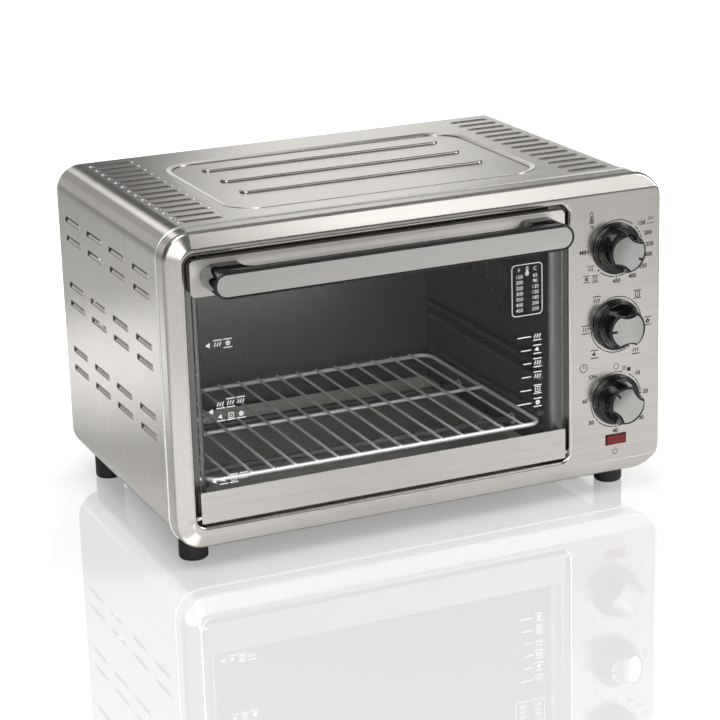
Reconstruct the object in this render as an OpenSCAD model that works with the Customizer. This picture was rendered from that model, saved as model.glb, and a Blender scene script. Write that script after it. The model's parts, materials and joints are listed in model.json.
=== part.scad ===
// Countertop air fryer toaster oven: pressed steel body, drop-down glass door,
// three dials, a wire rack that comes forward with the door, and a side fan.
// Millimetres. +Z is up, the front faces -Y, the origin is on the table under the middle.
// Depths named "from the panel" count to the rear from the flat front panel.

/* [Body] */
// Width of the pressed front frame
body_w = 520; // [490:1:550]
// Height of the pressed front frame
body_h = 310; // [300:1:330]
// Depth from the panel to the rear edge of the outer wrap
body_d = 336; // [325:1:360]
// Corner radius of the front frame
corner_r = 27; // [23:1:31]
// Thickness of the steel sheet
sheet_t = 1; // [0.8:0.1:1.2]
// Clearance between pieces that sit next to each other
seat_gap = 0.3; // [0.2:0.05:0.4]
// Radial clearance of a turning shaft in its bearing
run_gap = 0.05; // [0.03:0.01:0.08]

/* [Front frame] */
// Width of the slanted border
bevel_w = 15.5; // [12:0.5:18]
// How far the slanted border falls back
bevel_d = 7.5; // [5:0.5:9]
// Depth of the skirt that covers the front edge of the wrap
skirt_d = 26; // [22:1:30]
// Width of the frame left of the door opening
stile_w = 18.85; // [18:0.05:22]
// Width of the panel right of the door opening, which carries the dials
control_w = 103.45; // [98:0.05:110]
// Height of the frame below the door opening
open_lift = 23.4; // [21:0.1:26]
// Height of the frame above the door opening
open_drop = 21.7; // [20:0.1:26]
// Corner radius of the door opening
open_r = 10; // [8:0.5:12]
// Radius of the rolled edge round the door opening
roll_r = 3.5; // [2.5:0.5:4]
// Depth of the flange inside the door opening
open_d = 13; // [12:0.5:16]

/* [Outer wrap] */
// Depth from the panel to the wrap's front edge, under the skirt
wrap_start = 12; // [11:0.5:16]
// Width of the flange that the wrap turns in under the body
under_flange = 50; // [46:1:60]
// Length of a side vent
vent_l = 45; // [35:1:50]
// Height of a side vent
vent_h = 5.5; // [4.5:0.5:8]
// Number of vents in a row
vent_cols = 4; // [2:1:4]
// Depth from the panel to the middle of the first vent
vent_first = 77.9; // [70:0.1:85]
// Distance of the middle of the last vent from the rear edge of the wrap
vent_back = 47.5; // [42:0.5:55]
// Number of pairs of rows
vent_pairs = 3; // [1:1:3]
// Spacing of the two rows of a pair
pair_pitch = 20; // [15:0.5:25]
// Spacing of the pairs
pairs_pitch = 69.7; // [50:0.1:72]
// Distance of the highest row below the top of the wrap
vent_drop = 49; // [44:1:55]
// Slope of the pressed lips of the vents and slots
lip_slope = 24; // [15:1:35]
// Thickness of the pressed lips
lip_t = 0.8; // [0.6:0.1:0.9]
// Width of the pressed lip of a vent
vent_lip_w = 3; // [2.5:0.1:4]
// Width of the pressed lip of a top slot
slot_lip_w = 3.6; // [2.5:0.1:4.5]
// Number of slots on each side of the top
slot_n = 14; // [6:1:14]
// Length of a top slot
slot_l = 42; // [34:1:46]
// Width of a top slot
slot_w = 4.5; // [3:0.5:6]
// Depth from the panel to the first top slot
slot_first = 50.5; // [46:0.5:54]
// Distance of the last top slot from the rear edge of the wrap
slot_back = 20.3; // [18:0.1:30]
// Distance of the middle of a top slot from the side of the wrap
slot_in = 53.7; // [50:0.1:58]
// Distance of the sunk field on the top from the sides of the wrap
sunk_in = 92.2; // [84:0.2:100]
// Depth from the panel to the sunk field
sunk_first = 65; // [58:1:75]
// Distance of the sunk field from the rear edge of the wrap
sunk_back = 53; // [45:1:62]
// Corner radius of the sunk field
sunk_r = 35; // [25:1:45]
// Depth of the sunk field
sunk_d = 1.6; // [1:0.1:2]
// Width of the sloping wall of the sunk field
sunk_wall = 3; // [2:0.5:5]
// Number of stiffening beads in the sunk field
bead_n = 3; // [1:1:3]
// Distance of a stiffening bead's ends from the sides of the sunk field
bead_in = 34.5; // [28:0.5:50]
// Width of a stiffening bead
bead_w = 14; // [10:0.5:18]
// Height of a stiffening bead
bead_h = 2; // [1.6:0.1:2.5]
// Radius of a stiffening bead's rounded edges
bead_edge = 2; // [1.6:0.1:2.4]
// Spacing of the stiffening beads
bead_pitch = 53; // [40:1:58]
// Distance of the middle of the beads behind the middle of the sunk field
bead_back = 18.5; // [10:0.5:24]

/* [Feet and bottom] */
// Height of a foot
foot_h = 26; // [20:1:32]
// Radius of a foot
foot_r = 14.4; // [12:0.2:16]
// Radius of the rounded lower edge of a foot
foot_round = 3; // [1.5:0.5:4]
// Distance of a foot's middle from the side of the wrap
foot_in = 29.4; // [27:0.2:34]
// Depth from the panel to the front feet
foot_front = 51.2; // [45:0.2:60]
// Distance of the rear feet from the rear edge of the wrap
foot_back = 25.9; // [24:0.2:40]
// Radius of the screws
screw_r = 2; // [1.5:0.1:2.5]
// Radius of a screw's head
screw_head_r = 4; // [3.5:0.1:4.5]
// Thickness of a screw's head
screw_head_t = 2; // [1.6:0.1:2.2]
// Height of a foot screw's head above the table
screw_up = 10.5; // [6:0.5:12]
// How far a foot screw stands above the bottom plate
screw_end = 2.5; // [1.5:0.5:4]
// Number of slots in the bottom plate
floor_slots = 9; // [3:1:9]
// Spacing of the slots in the bottom plate
floor_slot_pitch = 22; // [15:1:24]
// Length of a slot in the bottom plate
floor_slot_l = 70; // [40:1:90]
// Distance of the two groups of slots in the bottom plate from its middle
floor_slot_y = 56; // [50:1:75]

/* [Rear] */
// Height of the raised field on the rear panel
boss_d = 4; // [2:0.5:6]
// Width of the raised field on the rear panel
boss_w = 300; // [260:1:330]
// Height of the raised field on the rear panel, from its lower to its upper edge
boss_h = 150; // [120:1:180]
// Corner radius of the raised field
boss_r = 20; // [10:1:30]
// Depth of the rear panel's rim
rim_d = 13; // [8:0.5:18]
// Number of slots in each rear vent
rear_slots = 8; // [4:1:10]
// Spacing of the rear slots
rear_pitch = 14; // [11:0.5:16]
// Radius of the hole for the mains lead
cord_r = 4; // [3:0.1:5]
// Outer radius of the mains inlet's bush
gland_r = 8; // [7:0.2:10]
// Outer radius of the mains inlet's collar
gland_rim = 11; // [10:0.2:13]
// Thickness of the mains inlet's collar
gland_out = 3; // [2:0.1:3.5]
// Length of the mains inlet's bush behind its collar
gland_l = 5.5; // [4:0.5:8]
// Distance of the mains inlet from the side of the wrap
cord_in = 55; // [48:1:70]
// Height of the mains inlet above the bottom plate
cord_up = 36; // [30:1:60]

/* [Oven cavity] */
// Distance of the cavity's side walls inside the sides of the door opening
cav_in = 15.85; // [14:0.05:18]
// Room behind the cavity
cav_room = 37; // [32:1:50]
// Height of the cavity floor above the lower edge of the door opening
cav_lift = 2; // [1:0.5:4]
// Distance of the cavity roof below the upper edge of the door opening
cav_drop = 8; // [6:0.5:12]
// How far the flange round the cavity's mouth reaches behind the frame
mouth_lap = 1.15; // [0.8:0.05:2]
// Outer radius of the bend from a cavity wall to the flange round the mouth
bend_r = 5; // [3:0.5:6]
// Height of the rack above the cavity floor
rack_up = 35; // [33:0.5:40]
// Height of the second rack position above the first
rack_step = 52; // [45:1:60]
// Half the height of the pressed rack guides
guide_r = 2.5; // [2:0.1:3]
// How far the rack guides stand out of the walls
guide_out = 7; // [6:0.5:8]
// Room between the lower and the upper guide of a rack position
guide_room = 9; // [8:0.5:11]
// Radius of a heating rod
rod_r = 3.5; // [3:0.1:4]
// Height of the lower heating rods above the cavity floor
rod_low = 18; // [16:0.5:20]
// Distance of the upper heating rods below the cavity roof
rod_drop = 17; // [14:0.5:20]
// Distance of the heating rods from the cavity's mouth and back
rod_in = 80; // [70:1:95]
// Radius of a heating rod's insulator
stone_r = 8; // [7.5:0.1:9]
// Radius of the insulator's collar that passes through the wall
collar_r = 6; // [5.5:0.1:6.5]
// Length of a heating rod's insulator outside the wall
stone_l = 7; // [6:0.5:8]
// Length of a heating rod's pin outside its insulator
rod_tail = 6; // [4:0.5:7]
// Height of the crumb tray's edge
tray_h = 9; // [6:0.5:10]
// Clearance round the crumb tray
tray_gap = 6; // [4:0.5:10]
// Corner radius of the crumb tray
tray_r = 6; // [4:0.5:12]

/* [Rack] */
// Radius of the rack's border wire
rack_r = 2.25; // [2:0.05:2.5]
// Radius of the rack's middle bar
bar_r = 1.8; // [1.6:0.05:1.9]
// Radius of the rack's cross wires
wire_r = 1.4; // [1.2:0.1:1.7]
// Number of cross wires
wire_n = 15; // [7:1:17]
// Clearance of the rack at the cavity's side walls
rack_gap = 1.75; // [1.5:0.05:2]
// Clearance of the rack in front of the cavity's back
rack_back = 12; // [8:0.5:20]
// Depth from the cavity's mouth to the rack's front wire
rack_front = 9; // [8:0.5:12]
// Corner radius of the rack's border wire
rack_corner = 14; // [10:1:20]

/* [Door] */
// Gap between the door and the sides of its opening
door_side = 4.5; // [3.5:0.1:5]
// Gap between the door and the bottom of its opening
door_under = 3.5; // [3.2:0.1:4.5]
// Gap between the door and the top of its opening
door_over = 4.3; // [3:0.1:6]
// Height of the door's top rail
rail_h = 35; // [33:0.5:38]
// Height of the door's bottom trim
trim_h = 31.6; // [30:0.2:34]
// Corner radius of the top rail
rail_r = 5; // [3:0.5:6]
// Corner radius of the bottom trim
trim_r = 2; // [1.5:0.1:2.4]
// Depth of the rail and the trim
trim_d = 9; // [8.5:0.1:10]
// Thickness of the door glass
glass_t = 4; // [3:0.1:4.5]
// How far the glass reaches behind the trim
trim_lap = 21; // [18:0.5:22]
// How far the glass reaches behind the rail
rail_lap = 14; // [10:0.5:15]
// Corner radius of the glass
glass_r = 2; // [1:0.5:4]
// Distance of a clamp strip's edge from the edge of the rail or the trim
clamp_in = 5; // [4:0.5:6]
// Distance of a clamp strip's foot from the glass
clamp_off = 1; // [0.5:0.1:1]
// Radius of the hinge pins
pin_r = 2; // [1.6:0.1:2.2]
// Height of the hinge axis above the door's lower edge
hinge_up = 4.4; // [4:0.1:5]
// Depth from the panel to the hinge axis
hinge_in = 5.5; // [5:0.1:5.7]
// Thickness of the hinge leaf inside the trim
leaf_t = 2; // [1.5:0.1:3]
// Thickness of the ear that holds each hinge pin
ear_t = 4; // [3:0.1:4]
// Depth of the bore in the ear
ear_bore = 3; // [2:0.1:3.2]
// Height of the hinge leaf above the hinge axis
leaf_h = 3.2; // [2.5:0.1:3.4]
// Wall of the ear in front of the hinge pin
ear_wall = 0.8; // [0.6:0.1:1]
// Length of the spring housing at each hinge
block_l = 11; // [8:0.5:12]
// Depth of the spring housing at each hinge
block_d = 4.5; // [3.5:0.1:4.5]
// Half the height of the spring housing at each hinge
block_r = 6; // [5.5:0.1:7]

/* [Handle] */
// Distance of the handle's front from the panel
handle_reach = 38; // [34:0.5:42]
// Distance of the handle's ends from the sides of the door
handle_in = 9.85; // [7:0.05:20]
// Height of the handle
handle_h = 25.5; // [22:0.5:27]
// Height of the handle's middle above the lower edge of the rail
handle_up = 18; // [16:0.5:19]
// Thickness of the grip bar
grip_t = 12; // [9:0.5:14]
// Width of the posts at the ends of the handle
post_w = 36; // [28:1:44]
// Radius of the hollow between the grip and the posts
grip_round = 11; // [6:0.5:12]
// Length of the screws inside the handle's posts
screw_hold = 18; // [12:0.5:22]
// Width of the black edge round the steel inlay
inlay_edge = 2.1; // [1.5:0.1:3]
// Thickness of the steel inlays
inlay_t = 1.2; // [0.8:0.1:1.5]

/* [Dials] */
// Distance of the dials from the right side of the frame
dial_in = 50.3; // [46:0.1:54]
// Height of the middle dial above the bottom of the frame
dial_up = 158.8; // [155:0.1:165]
// Spacing of the dials
dial_pitch = 78.6; // [70:0.1:82]
// Radius of the dial's skirt
dial_r = 26; // [23:0.2:28]
// Thickness of the dial's skirt
dial_skirt = 4; // [3:0.1:5]
// Height of the dial
dial_h = 24; // [20:0.5:28]
// Radius of the dial's grip
grip_r = 19.5; // [18.5:0.1:20.5]
// Radius of the finger hollows beside the grip
scoop_r = 20; // [16:0.5:24]
// Half the width of the grip between the finger hollows
waist = 14.5; // [13:0.1:15.5]
// Radius of the dial shafts
shaft_r = 3; // [2.5:0.1:3.5]
// Radius of the dial's domed side where it meets the skirt
dome_r = 23.4; // [22.5:0.1:23.6]
// Depth of the shaft's bore in a dial, from the panel
dial_bore = 14.4; // [10:0.2:17]
// Length of the pointer notch in a dial's inlay
notch_l = 5; // [3:0.5:7]
// Width of the pointer notch in a dial's inlay
notch_w = 2.6; // [1.5:0.1:3]
// Clearance between a dial and the panel
dial_gap = 0.8; // [0.5:0.1:1.5]
// Pointer of the temperature dial, clockwise from the top
temperature_at = 118; // [0:1:359]
// Pointer of the function dial, clockwise from the top
function_at = 270; // [0:1:359]
// Pointer of the timer dial, clockwise from the top
timer_at = 319; // [0:1:359]
// Width of a switch body behind the panel
switch_w = 42; // [36:1:48]
// Height of a switch body
switch_h = 33.6; // [30:0.2:40]
// Depth of a switch body with its neck
switch_d = 24; // [20:1:30]
// Length of the neck in front of a switch body
neck_l = 2; // [1.5:0.1:3]
// Radius of the neck in front of a switch body
neck_r = 9; // [7:0.5:12]
// Depth of the shaft's bearing in a switch body
socket_d = 14; // [10:0.5:18]
// Length of a switch's terminals
pole_l = 4; // [3:0.5:6]
// Spacing of a switch's terminals
pole_pitch = 14; // [10:0.5:15]
// Height of a switch's terminals
pole_h = 7; // [5:0.5:9]
// Width of the power lamp
lamp_w = 21.3; // [16:0.1:24]
// Height of the power lamp
lamp_h = 9.5; // [7:0.1:12]
// Distance of the power lamp below the lowest dial
lamp_drop = 42.7; // [40:0.1:44]
// How far the power lamp stands out of the panel
lamp_out = 1.5; // [0.8:0.1:2]
// Width of the lens's rim behind the panel
lamp_rim = 2; // [1.5:0.1:3]
// Depth of the lamp holder behind the lens
lamp_d = 20; // [14:1:26]

/* [Fan] */
// Depth from the cavity's mouth to the fan axis
fan_in = 150; // [130:1:170]
// Height of the fan axis above the second rack position
fan_up = 77.9; // [74:0.1:84]
// Radius of the fan's opening in the wall
fan_hole = 52; // [46:1:58]
// Radius of the fan's blades
blade_r = 46; // [40:1:48]
// Number of the fan's blades
blade_n = 8; // [4:1:10]
// Slope of the fan's blades
blade_slope = 35; // [20:1:45]
// Depth of the fan housing
fan_d = 26; // [24:1:30]
// Radius of the fan motor
motor_r = 30; // [26:1:34]
// Length of the fan motor
motor_l = 40; // [34:1:46]
// Distance of the blades from the cavity's wall
blade_in = 8; // [6:0.5:9]
// Depth of the blades and their hub
blade_d = 12; // [9:0.5:13]
// Radius of the fan's hub
hub_r = 8; // [6:0.2:10]
// How far the fan's shaft stands out of the motor
fan_reach = 19; // [17:0.5:20]
// Depth of the shaft's bearing in the fan motor
bearing_d = 20; // [14:1:24]
// Length of the fan motor's fixing bar
motor_bar = 72; // [70:1:80]
// Number of slots in a ring of the fan guard
guard_n = 16; // [8:1:16]
// Number of rings of slots in the fan guard
guard_rings = 3; // [1:1:3]
// Radius of the innermost ring of slots
guard_first = 18.5; // [17.5:0.5:20]
// Spacing of the rings of slots
guard_pitch = 12.5; // [9:0.5:13]
// Length of a slot in the fan guard
guard_slot_l = 7; // [5:0.5:8]
// Width of a slot in the fan guard
guard_slot_w = 2.4; // [1.6:0.1:2.8]
// How far the fan guard and the fan housing reach past the opening
guard_rim = 6; // [5:0.5:7]

/* [Hidden] */
$fn = 64;
eps = 0.5;

steel = [0.72, 0.71, 0.69];
bright_steel = [0.8, 0.8, 0.79];
aluminised = [0.62, 0.63, 0.63];
dark_steel = [0.3, 0.3, 0.31];
black = [0.07, 0.07, 0.075];
stone = [0.88, 0.86, 0.8];
brass_tone = [0.75, 0.62, 0.32];
lens_red = [0.6, 0.05, 0.04];
pane = [0.75, 0.82, 0.84, 0.35];

// Front panel and the levels of the body
panel_y = (handle_reach - body_d - boss_d)/2;
over = sheet_t + seat_gap;
frame_z0 = foot_h - over;
frame_z = frame_z0 + body_h/2;
wrap_w = body_w - 2*over;
wrap_h = body_h - 2*over;
wrap_r = corner_r - over;
wrap_top = frame_z + wrap_h/2;
wrap_side = wrap_w/2;
plate_z = foot_h + sheet_t;
rear_y = panel_y + body_d;

// Vents, slots and sunk field of the wrap
vent_pitch = (body_d - vent_first - vent_back)/(vent_cols - 1);
slot_pitch = (body_d - slot_first - slot_back)/(slot_n - 1);
slot_x = wrap_side - slot_in;
sunk_w = wrap_w - 2*sunk_in;
sunk_l = body_d - sunk_first - sunk_back;
sunk_y = sunk_first + sunk_l/2;
bead_l = sunk_w - 2*bead_in;

// Door opening and door
open_w = body_w - stile_w - control_w;
open_h = body_h - open_lift - open_drop;
open_x = (stile_w - control_w)/2;
open_z0 = frame_z0 + open_lift;
open_z = open_z0 + open_h/2;
open_z1 = open_z0 + open_h;
open_x0 = open_x - open_w/2;
open_x1 = open_x + open_w/2;
door_w = open_w - 2*door_side;
door_z0 = open_z0 + door_under;
door_z1 = open_z1 - door_over;
rail_z0 = door_z1 - rail_h;
hinge_y = panel_y + hinge_in;
hinge_z = door_z0 + hinge_up;
glass_y = panel_y + sheet_t + seat_gap;
clamp_y = glass_y + glass_t + seat_gap;
glass_w = door_w - 2*(sheet_t + 2*seat_gap);
handle_l = door_w - 2*handle_in;
glass_z0 = door_z0 + trim_h - trim_lap;
glass_z1 = rail_z0 + rail_lap;

// Oven cavity
cav_w = open_w - 2*cav_in;
cav_d = body_d - open_d - sheet_t - cav_room;
mouth_y = panel_y + open_d + sheet_t;
mouth_w = cav_in + mouth_lap;
cav_x0 = open_x - cav_w/2;
cav_x1 = open_x + cav_w/2;
cav_z0 = open_z0 + cav_lift;
cav_z1 = open_z1 - cav_drop;
cav_h = cav_z1 - cav_z0;
back_y = mouth_y + cav_d;
rack_z = cav_z0 + rack_up;
fan_y = mouth_y + fan_in;
fan_z = rack_z + rack_step + fan_up;
rod_rows = [mouth_y + rod_in, back_y - rod_in];
rod_low_z = cav_z0 + rod_low;
rod_high_z = cav_z1 - rod_drop;

// Dials
dial_x = body_w/2 - dial_in;
dial_z = [for (i = [1, 0, -1]) frame_z0 + dial_up + i*dial_pitch];
lamp_z = dial_z[2] - lamp_drop;
handle_z = rail_z0 + handle_up;
foot_x = wrap_side - foot_in;
foot_ys = [panel_y + foot_front, rear_y - foot_back];

// A flat outline with round corners
module rounded(w, h, r) {
    square([w, h - 2*r], center = true);
    square([w - 2*r, h], center = true);
    for (sx = [-1, 1], sy = [-1, 1])
        translate([sx*(w/2 - r), sy*(h/2 - r)]) circle(r);
}

// A slot with round ends
module slot(l, w) {
    square([l - w, w], center = true);
    for (s = [-1, 1]) translate([s*(l - w)/2, 0]) circle(w/2);
}

// Extrudes an upright outline from y to the rear
module upright(y, t) {
    translate([0, y + t, 0]) rotate([90, 0, 0]) linear_extrude(t) children();
}

// Extrudes an outline seen from the right side, from x to the right
module sideways(x, t) {
    translate([x, 0, 0]) rotate([90, 0, 90]) linear_extrude(t) children();
}

// Turns a piece that is built upwards so that it points to the front
module to_front(x, y, z) {
    translate([x, y, z]) rotate([90, 0, 0]) children();
}

// Sweeps a profile round a rectangle with round corners: x points outwards, y along the axis
module swept(w, h, r) {
    for (turn = [0, 180]) rotate(turn) {
        translate([w/2, h/2 - r, 0]) rotate([90, 0, 0]) linear_extrude(h - 2*r) children();
        translate([-w/2 + r, h/2, 0]) rotate([90, 0, 90]) linear_extrude(w - 2*r) children();
    }
    for (c = [[1, 1, 0], [-1, 1, 90], [-1, -1, 180], [1, -1, 270]])
        translate([c[0]*(w/2 - r), c[1]*(h/2 - r), 0])
            rotate(c[2]) rotate_extrude(angle = 90) translate([r, 0]) children();
}

// A raised bead with a flat top, rounded edges and round ends
module bead(l, w, h, r) {
    translate([-(l - w)/2, 0, 0]) rotate([90, 0, 90]) linear_extrude(l - w)
        for (side = [0, 1]) mirror([side, 0]) half_bead(w, h, r);
    for (s = [-1, 1]) translate([s*(l - w)/2, 0, 0]) rotate(-90*s)
        rotate_extrude(angle = 180) half_bead(w, h, r);
}

module half_bead(w, h, r) {
    square([w/2 - r, h]);
    square([w/2, h - r]);
    intersection() {
        translate([w/2 - r, h - r]) circle(r);
        square([w/2 + eps, h]);
    }
}

// Front frame: its border slants on the left, the top and the bottom and runs out at the right
module frame_block(inset) {
    w = body_w - 2*inset;
    h = body_h - 2*inset;
    r = corner_r - inset;
    difference() {
        translate([0, 0, frame_z]) upright(panel_y + inset, skirt_d) rounded(w, h, r);
        translate([0, panel_y + inset, frame_z]) rotate([-90, 0, 0]) frame_bevel(w, h, r);
    }
}

module frame_bevel(w, h, r) {
    for (turn = [0, 180]) mirror([0, turn/180, 0]) {
        translate([-w/2 + r, h/2, 0]) rotate([90, 0, 90]) linear_extrude(w) bevel_profile();
        translate([-w/2 + r, h/2 - r, 0]) rotate(90) rotate_extrude(angle = 90)
            translate([r, 0]) bevel_profile();
    }
    translate([-w/2, -h/2 + r, 0]) rotate([90, 0, 180]) linear_extrude(h - 2*r) bevel_profile();
}

module bevel_profile() {
    polygon([
        [-bevel_w - eps*bevel_w/bevel_d, -eps],
        [eps, -eps],
        [eps, bevel_d + eps*bevel_d/bevel_w]
    ]);
}

// Rolled edge and flange round the door opening
module roll_profile() {
    difference() {
        union() {
            intersection() {
                translate([roll_r, roll_r]) circle(roll_r);
                square(roll_r + eps/10);
            }
            translate([0, roll_r]) square([sheet_t, open_d - roll_r]);
        }
        translate([roll_r, roll_r]) circle(roll_r - sheet_t);
    }
}

module front_fascia() {
    color(steel) difference() {
        union() {
            difference() {
                frame_block(0);
                frame_block(sheet_t);
                translate([open_x, 0, open_z]) upright(panel_y - eps, sheet_t + 2*eps)
                    rounded(open_w + 2*roll_r, open_h + 2*roll_r, open_r + roll_r);
            }
            translate([open_x, panel_y, open_z]) rotate([-90, 0, 0])
                swept(open_w, open_h, open_r) roll_profile();
        }
        for (z = dial_z)
            to_front(dial_x, panel_y + sheet_t + eps, z)
                cylinder(r = shaft_r + 2*seat_gap, h = sheet_t + 2*eps);
        translate([dial_x, 0, lamp_z]) upright(panel_y - eps, sheet_t + 2*eps)
            square([lamp_w + 2*seat_gap, lamp_h + 2*seat_gap], center = true);
        for (x = [open_x0 - roll_r, open_x1 - roll_r])
            translate([x, hinge_y, hinge_z]) rotate([0, 90, 0])
                cylinder(r = pin_r + 2*seat_gap, h = 2*roll_r);
    }
}

// Outer wrap: one bent sheet with vents on the sides and slots, a sunk field and beads on the top
module wrap_sheet() {
    translate([0, 0, frame_z]) upright(panel_y + wrap_start, body_d - wrap_start) difference() {
        rounded(wrap_w, wrap_h, wrap_r);
        rounded(wrap_w - 2*sheet_t, wrap_h - 2*sheet_t, wrap_r - sheet_t);
        translate([0, -wrap_h/2]) square([wrap_w - 2*under_flange, 4*sheet_t], center = true);
    }
}

module at_vents() {
    top_z = wrap_top - vent_drop;
    for (pair = [0:vent_pairs - 1], row = [0, 1], col = [0:vent_cols - 1])
        translate([0, panel_y + vent_first + col*vent_pitch, top_z - pair*pairs_pitch - row*pair_pitch])
            children();
}

module vent_lip() {
    lip_l = vent_l - vent_h - 2*seat_gap;
    translate([wrap_side - sheet_t, -lip_l/2, -vent_h/2 - sheet_t/4]) rotate([0, -lip_slope, 0])
        cube([lip_t, lip_l, vent_lip_w]);
}

module at_slots() {
    for (i = [0:slot_n - 1])
        translate([slot_x, panel_y + slot_first + i*slot_pitch, wrap_top]) children();
}

module slot_lip() {
    lip_l = slot_l - slot_w - 2*seat_gap;
    translate([-lip_l/2, -slot_w/2 - sheet_t/4, -sheet_t]) rotate([-lip_slope, 0, 0])
        cube([lip_l, slot_lip_w, lip_t]);
}

module at_sunk() {
    translate([0, panel_y + sunk_y, wrap_top]) children();
}

module at_beads() {
    for (i = [0:bead_n - 1])
        translate([0, bead_back + (i - (bead_n - 1)/2)*bead_pitch, -sunk_d]) children();
}

module outer_wrap() {
    color(steel) difference() {
        union() {
            difference() {
                union() {
                    wrap_sheet();
                    at_sunk() translate([0, 0, -sunk_d - sheet_t])
                        linear_extrude(sunk_d + sheet_t/2) rounded(sunk_w, sunk_l, sunk_r);
                }
                for (side = [0, 1]) mirror([side, 0, 0]) {
                    at_vents() sideways(wrap_side - 2*sheet_t, 4*sheet_t) slot(vent_l, vent_h);
                    at_slots() translate([0, 0, -2*sheet_t])
                        linear_extrude(4*sheet_t) slot(slot_l, slot_w);
                }
                at_sunk() translate([0, 0, -sunk_d]) linear_extrude(sunk_d + eps)
                    rounded(sunk_w - 2*sunk_wall, sunk_l - 2*sunk_wall, sunk_r - sunk_wall);
                at_sunk() swept(sunk_w, sunk_l, sunk_r) sunk_profile();
            }
            at_sunk() at_beads() translate([0, 0, -sheet_t/2])
                bead(bead_l, bead_w, bead_h + sheet_t/2, bead_edge);
            for (side = [0, 1]) mirror([side, 0, 0]) {
                at_vents() vent_lip();
                at_slots() slot_lip();
            }
        }
        at_sunk() at_beads() translate([0, 0, -sheet_t - eps])
            bead(bead_l - 2*sheet_t, bead_w - 2*sheet_t, bead_h + eps, bead_edge - sheet_t);
        for (x = [-foot_x, foot_x], y = foot_ys)
            translate([x, y, foot_h - sheet_t]) cylinder(r = screw_r + seat_gap, h = 3*sheet_t);
    }
}

module sunk_profile() {
    polygon([
        [-sunk_wall - eps, eps],
        [-sunk_wall - eps, -sunk_d],
        [-sunk_wall, -sunk_d],
        [0, 0],
        [eps/4, eps]
    ]);
}

// Bottom plate, feet and their screws
module base_plate() {
    plate_w = wrap_w - 2*wrap_r;
    color(aluminised) difference() {
        translate([-plate_w/2, panel_y + skirt_d, plate_z])
            cube([plate_w, body_d - skirt_d - over, sheet_t]);
        for (i = [0:floor_slots - 1], side = [-1, 1])
            translate([(i - (floor_slots - 1)/2)*floor_slot_pitch, side*floor_slot_y, plate_z - eps])
                linear_extrude(sheet_t + 2*eps) rotate(90) slot(floor_slot_l, slot_w);
        for (x = [-foot_x, foot_x], y = foot_ys)
            translate([x, y, plate_z - eps]) cylinder(r = screw_r + seat_gap, h = 2*sheet_t);
    }
}

module foot(x, y) {
    head_room = screw_up + screw_head_t;
    color(black) translate([x, y, 0]) difference() {
        rotate_extrude() union() {
            translate([0, foot_round]) square([foot_r, foot_h - foot_round]);
            square([foot_r - foot_round, foot_h/2]);
            translate([foot_r - foot_round, foot_round]) circle(foot_round);
        }
        translate([0, 0, -eps]) cylinder(r = screw_head_r + 2*seat_gap, h = head_room + eps);
        cylinder(r = screw_r + seat_gap, h = foot_h + eps);
    }
}

module foot_front_left() { foot(-foot_x, foot_ys[0]); }
module foot_front_right() { foot(foot_x, foot_ys[0]); }
module foot_rear_left() { foot(-foot_x, foot_ys[1]); }
module foot_rear_right() { foot(foot_x, foot_ys[1]); }

module foot_screws() {
    shank_l = plate_z + sheet_t + screw_end - screw_up;
    color(bright_steel) for (x = [-foot_x, foot_x], y = foot_ys) translate([x, y, screw_up]) {
        cylinder(r = screw_head_r, h = screw_head_t);
        cylinder(r = screw_r, h = shank_l);
    }
}

// Rear panel with a raised field, vents and the mains inlet
module at_cord() {
    translate([wrap_side - cord_in, rear_y, plate_z + cord_up]) children();
}

module rear_panel() {
    w = wrap_w - 2*over;
    h = wrap_h - 2*over;
    r = wrap_r - over;
    color(steel) difference() {
        union() {
            translate([0, 0, frame_z]) upright(rear_y - rim_d, rim_d) rounded(w, h, r);
            translate([0, 0, frame_z]) upright(rear_y - rim_d, boss_d + rim_d)
                rounded(boss_w, boss_h, boss_r);
        }
        translate([0, 0, frame_z]) upright(rear_y - rim_d - eps, rim_d - sheet_t + eps)
            rounded(w - 2*sheet_t, h - 2*sheet_t, r - sheet_t);
        translate([0, 0, frame_z]) upright(rear_y - rim_d, boss_d + rim_d - sheet_t)
            rounded(boss_w - 2*sheet_t, boss_h - 2*sheet_t, boss_r - sheet_t);
        for (side = [-1, 1], i = [0:rear_slots - 1])
            translate([side*(boss_w + wrap_w)/4, 0, frame_z + (i - (rear_slots - 1)/2)*rear_pitch])
                upright(rear_y - 2*sheet_t, 4*sheet_t) slot(vent_l, slot_w);
        at_cord() to_front(0, sheet_t, 0) cylinder(r = gland_r + seat_gap, h = 3*sheet_t);
        translate([0, 0, plate_z]) upright(rear_y - rim_d - eps, rim_d - sheet_t + eps)
            square([wrap_w - 2*wrap_r + 2*over, 4*sheet_t], center = true);
    }
}

module cord_gland() {
    color(black) at_cord() difference() {
        union() {
            to_front(0, gland_out, 0) cylinder(r = gland_rim, h = gland_out);
            to_front(0, gland_out, 0) cylinder(r = gland_r, h = gland_out + gland_l);
        }
        to_front(0, gland_out + eps, 0) cylinder(r = cord_r, h = gland_out + gland_l + 2*eps);
    }
}

// Oven cavity walls
module guide_profile() {
    flat_w = guide_out - guide_r;
    translate([-sheet_t/2, -guide_r]) square([flat_w + sheet_t/2, 2*guide_r]);
    translate([flat_w, 0]) circle(guide_r);
}

module wall_guides(x, side) {
    low_z = rack_z - rack_r - seat_gap - guide_r;
    pair_step = guide_room + 2*guide_r;
    for (level = [0, 1], upper = [0, 1])
        translate([x, 0, low_z + level*rack_step + upper*pair_step])
            mirror([side > 0 ? 0 : 1, 0, 0])
                upright(mouth_y + rack_back, cav_d - 2*rack_back) guide_profile();
}

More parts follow.
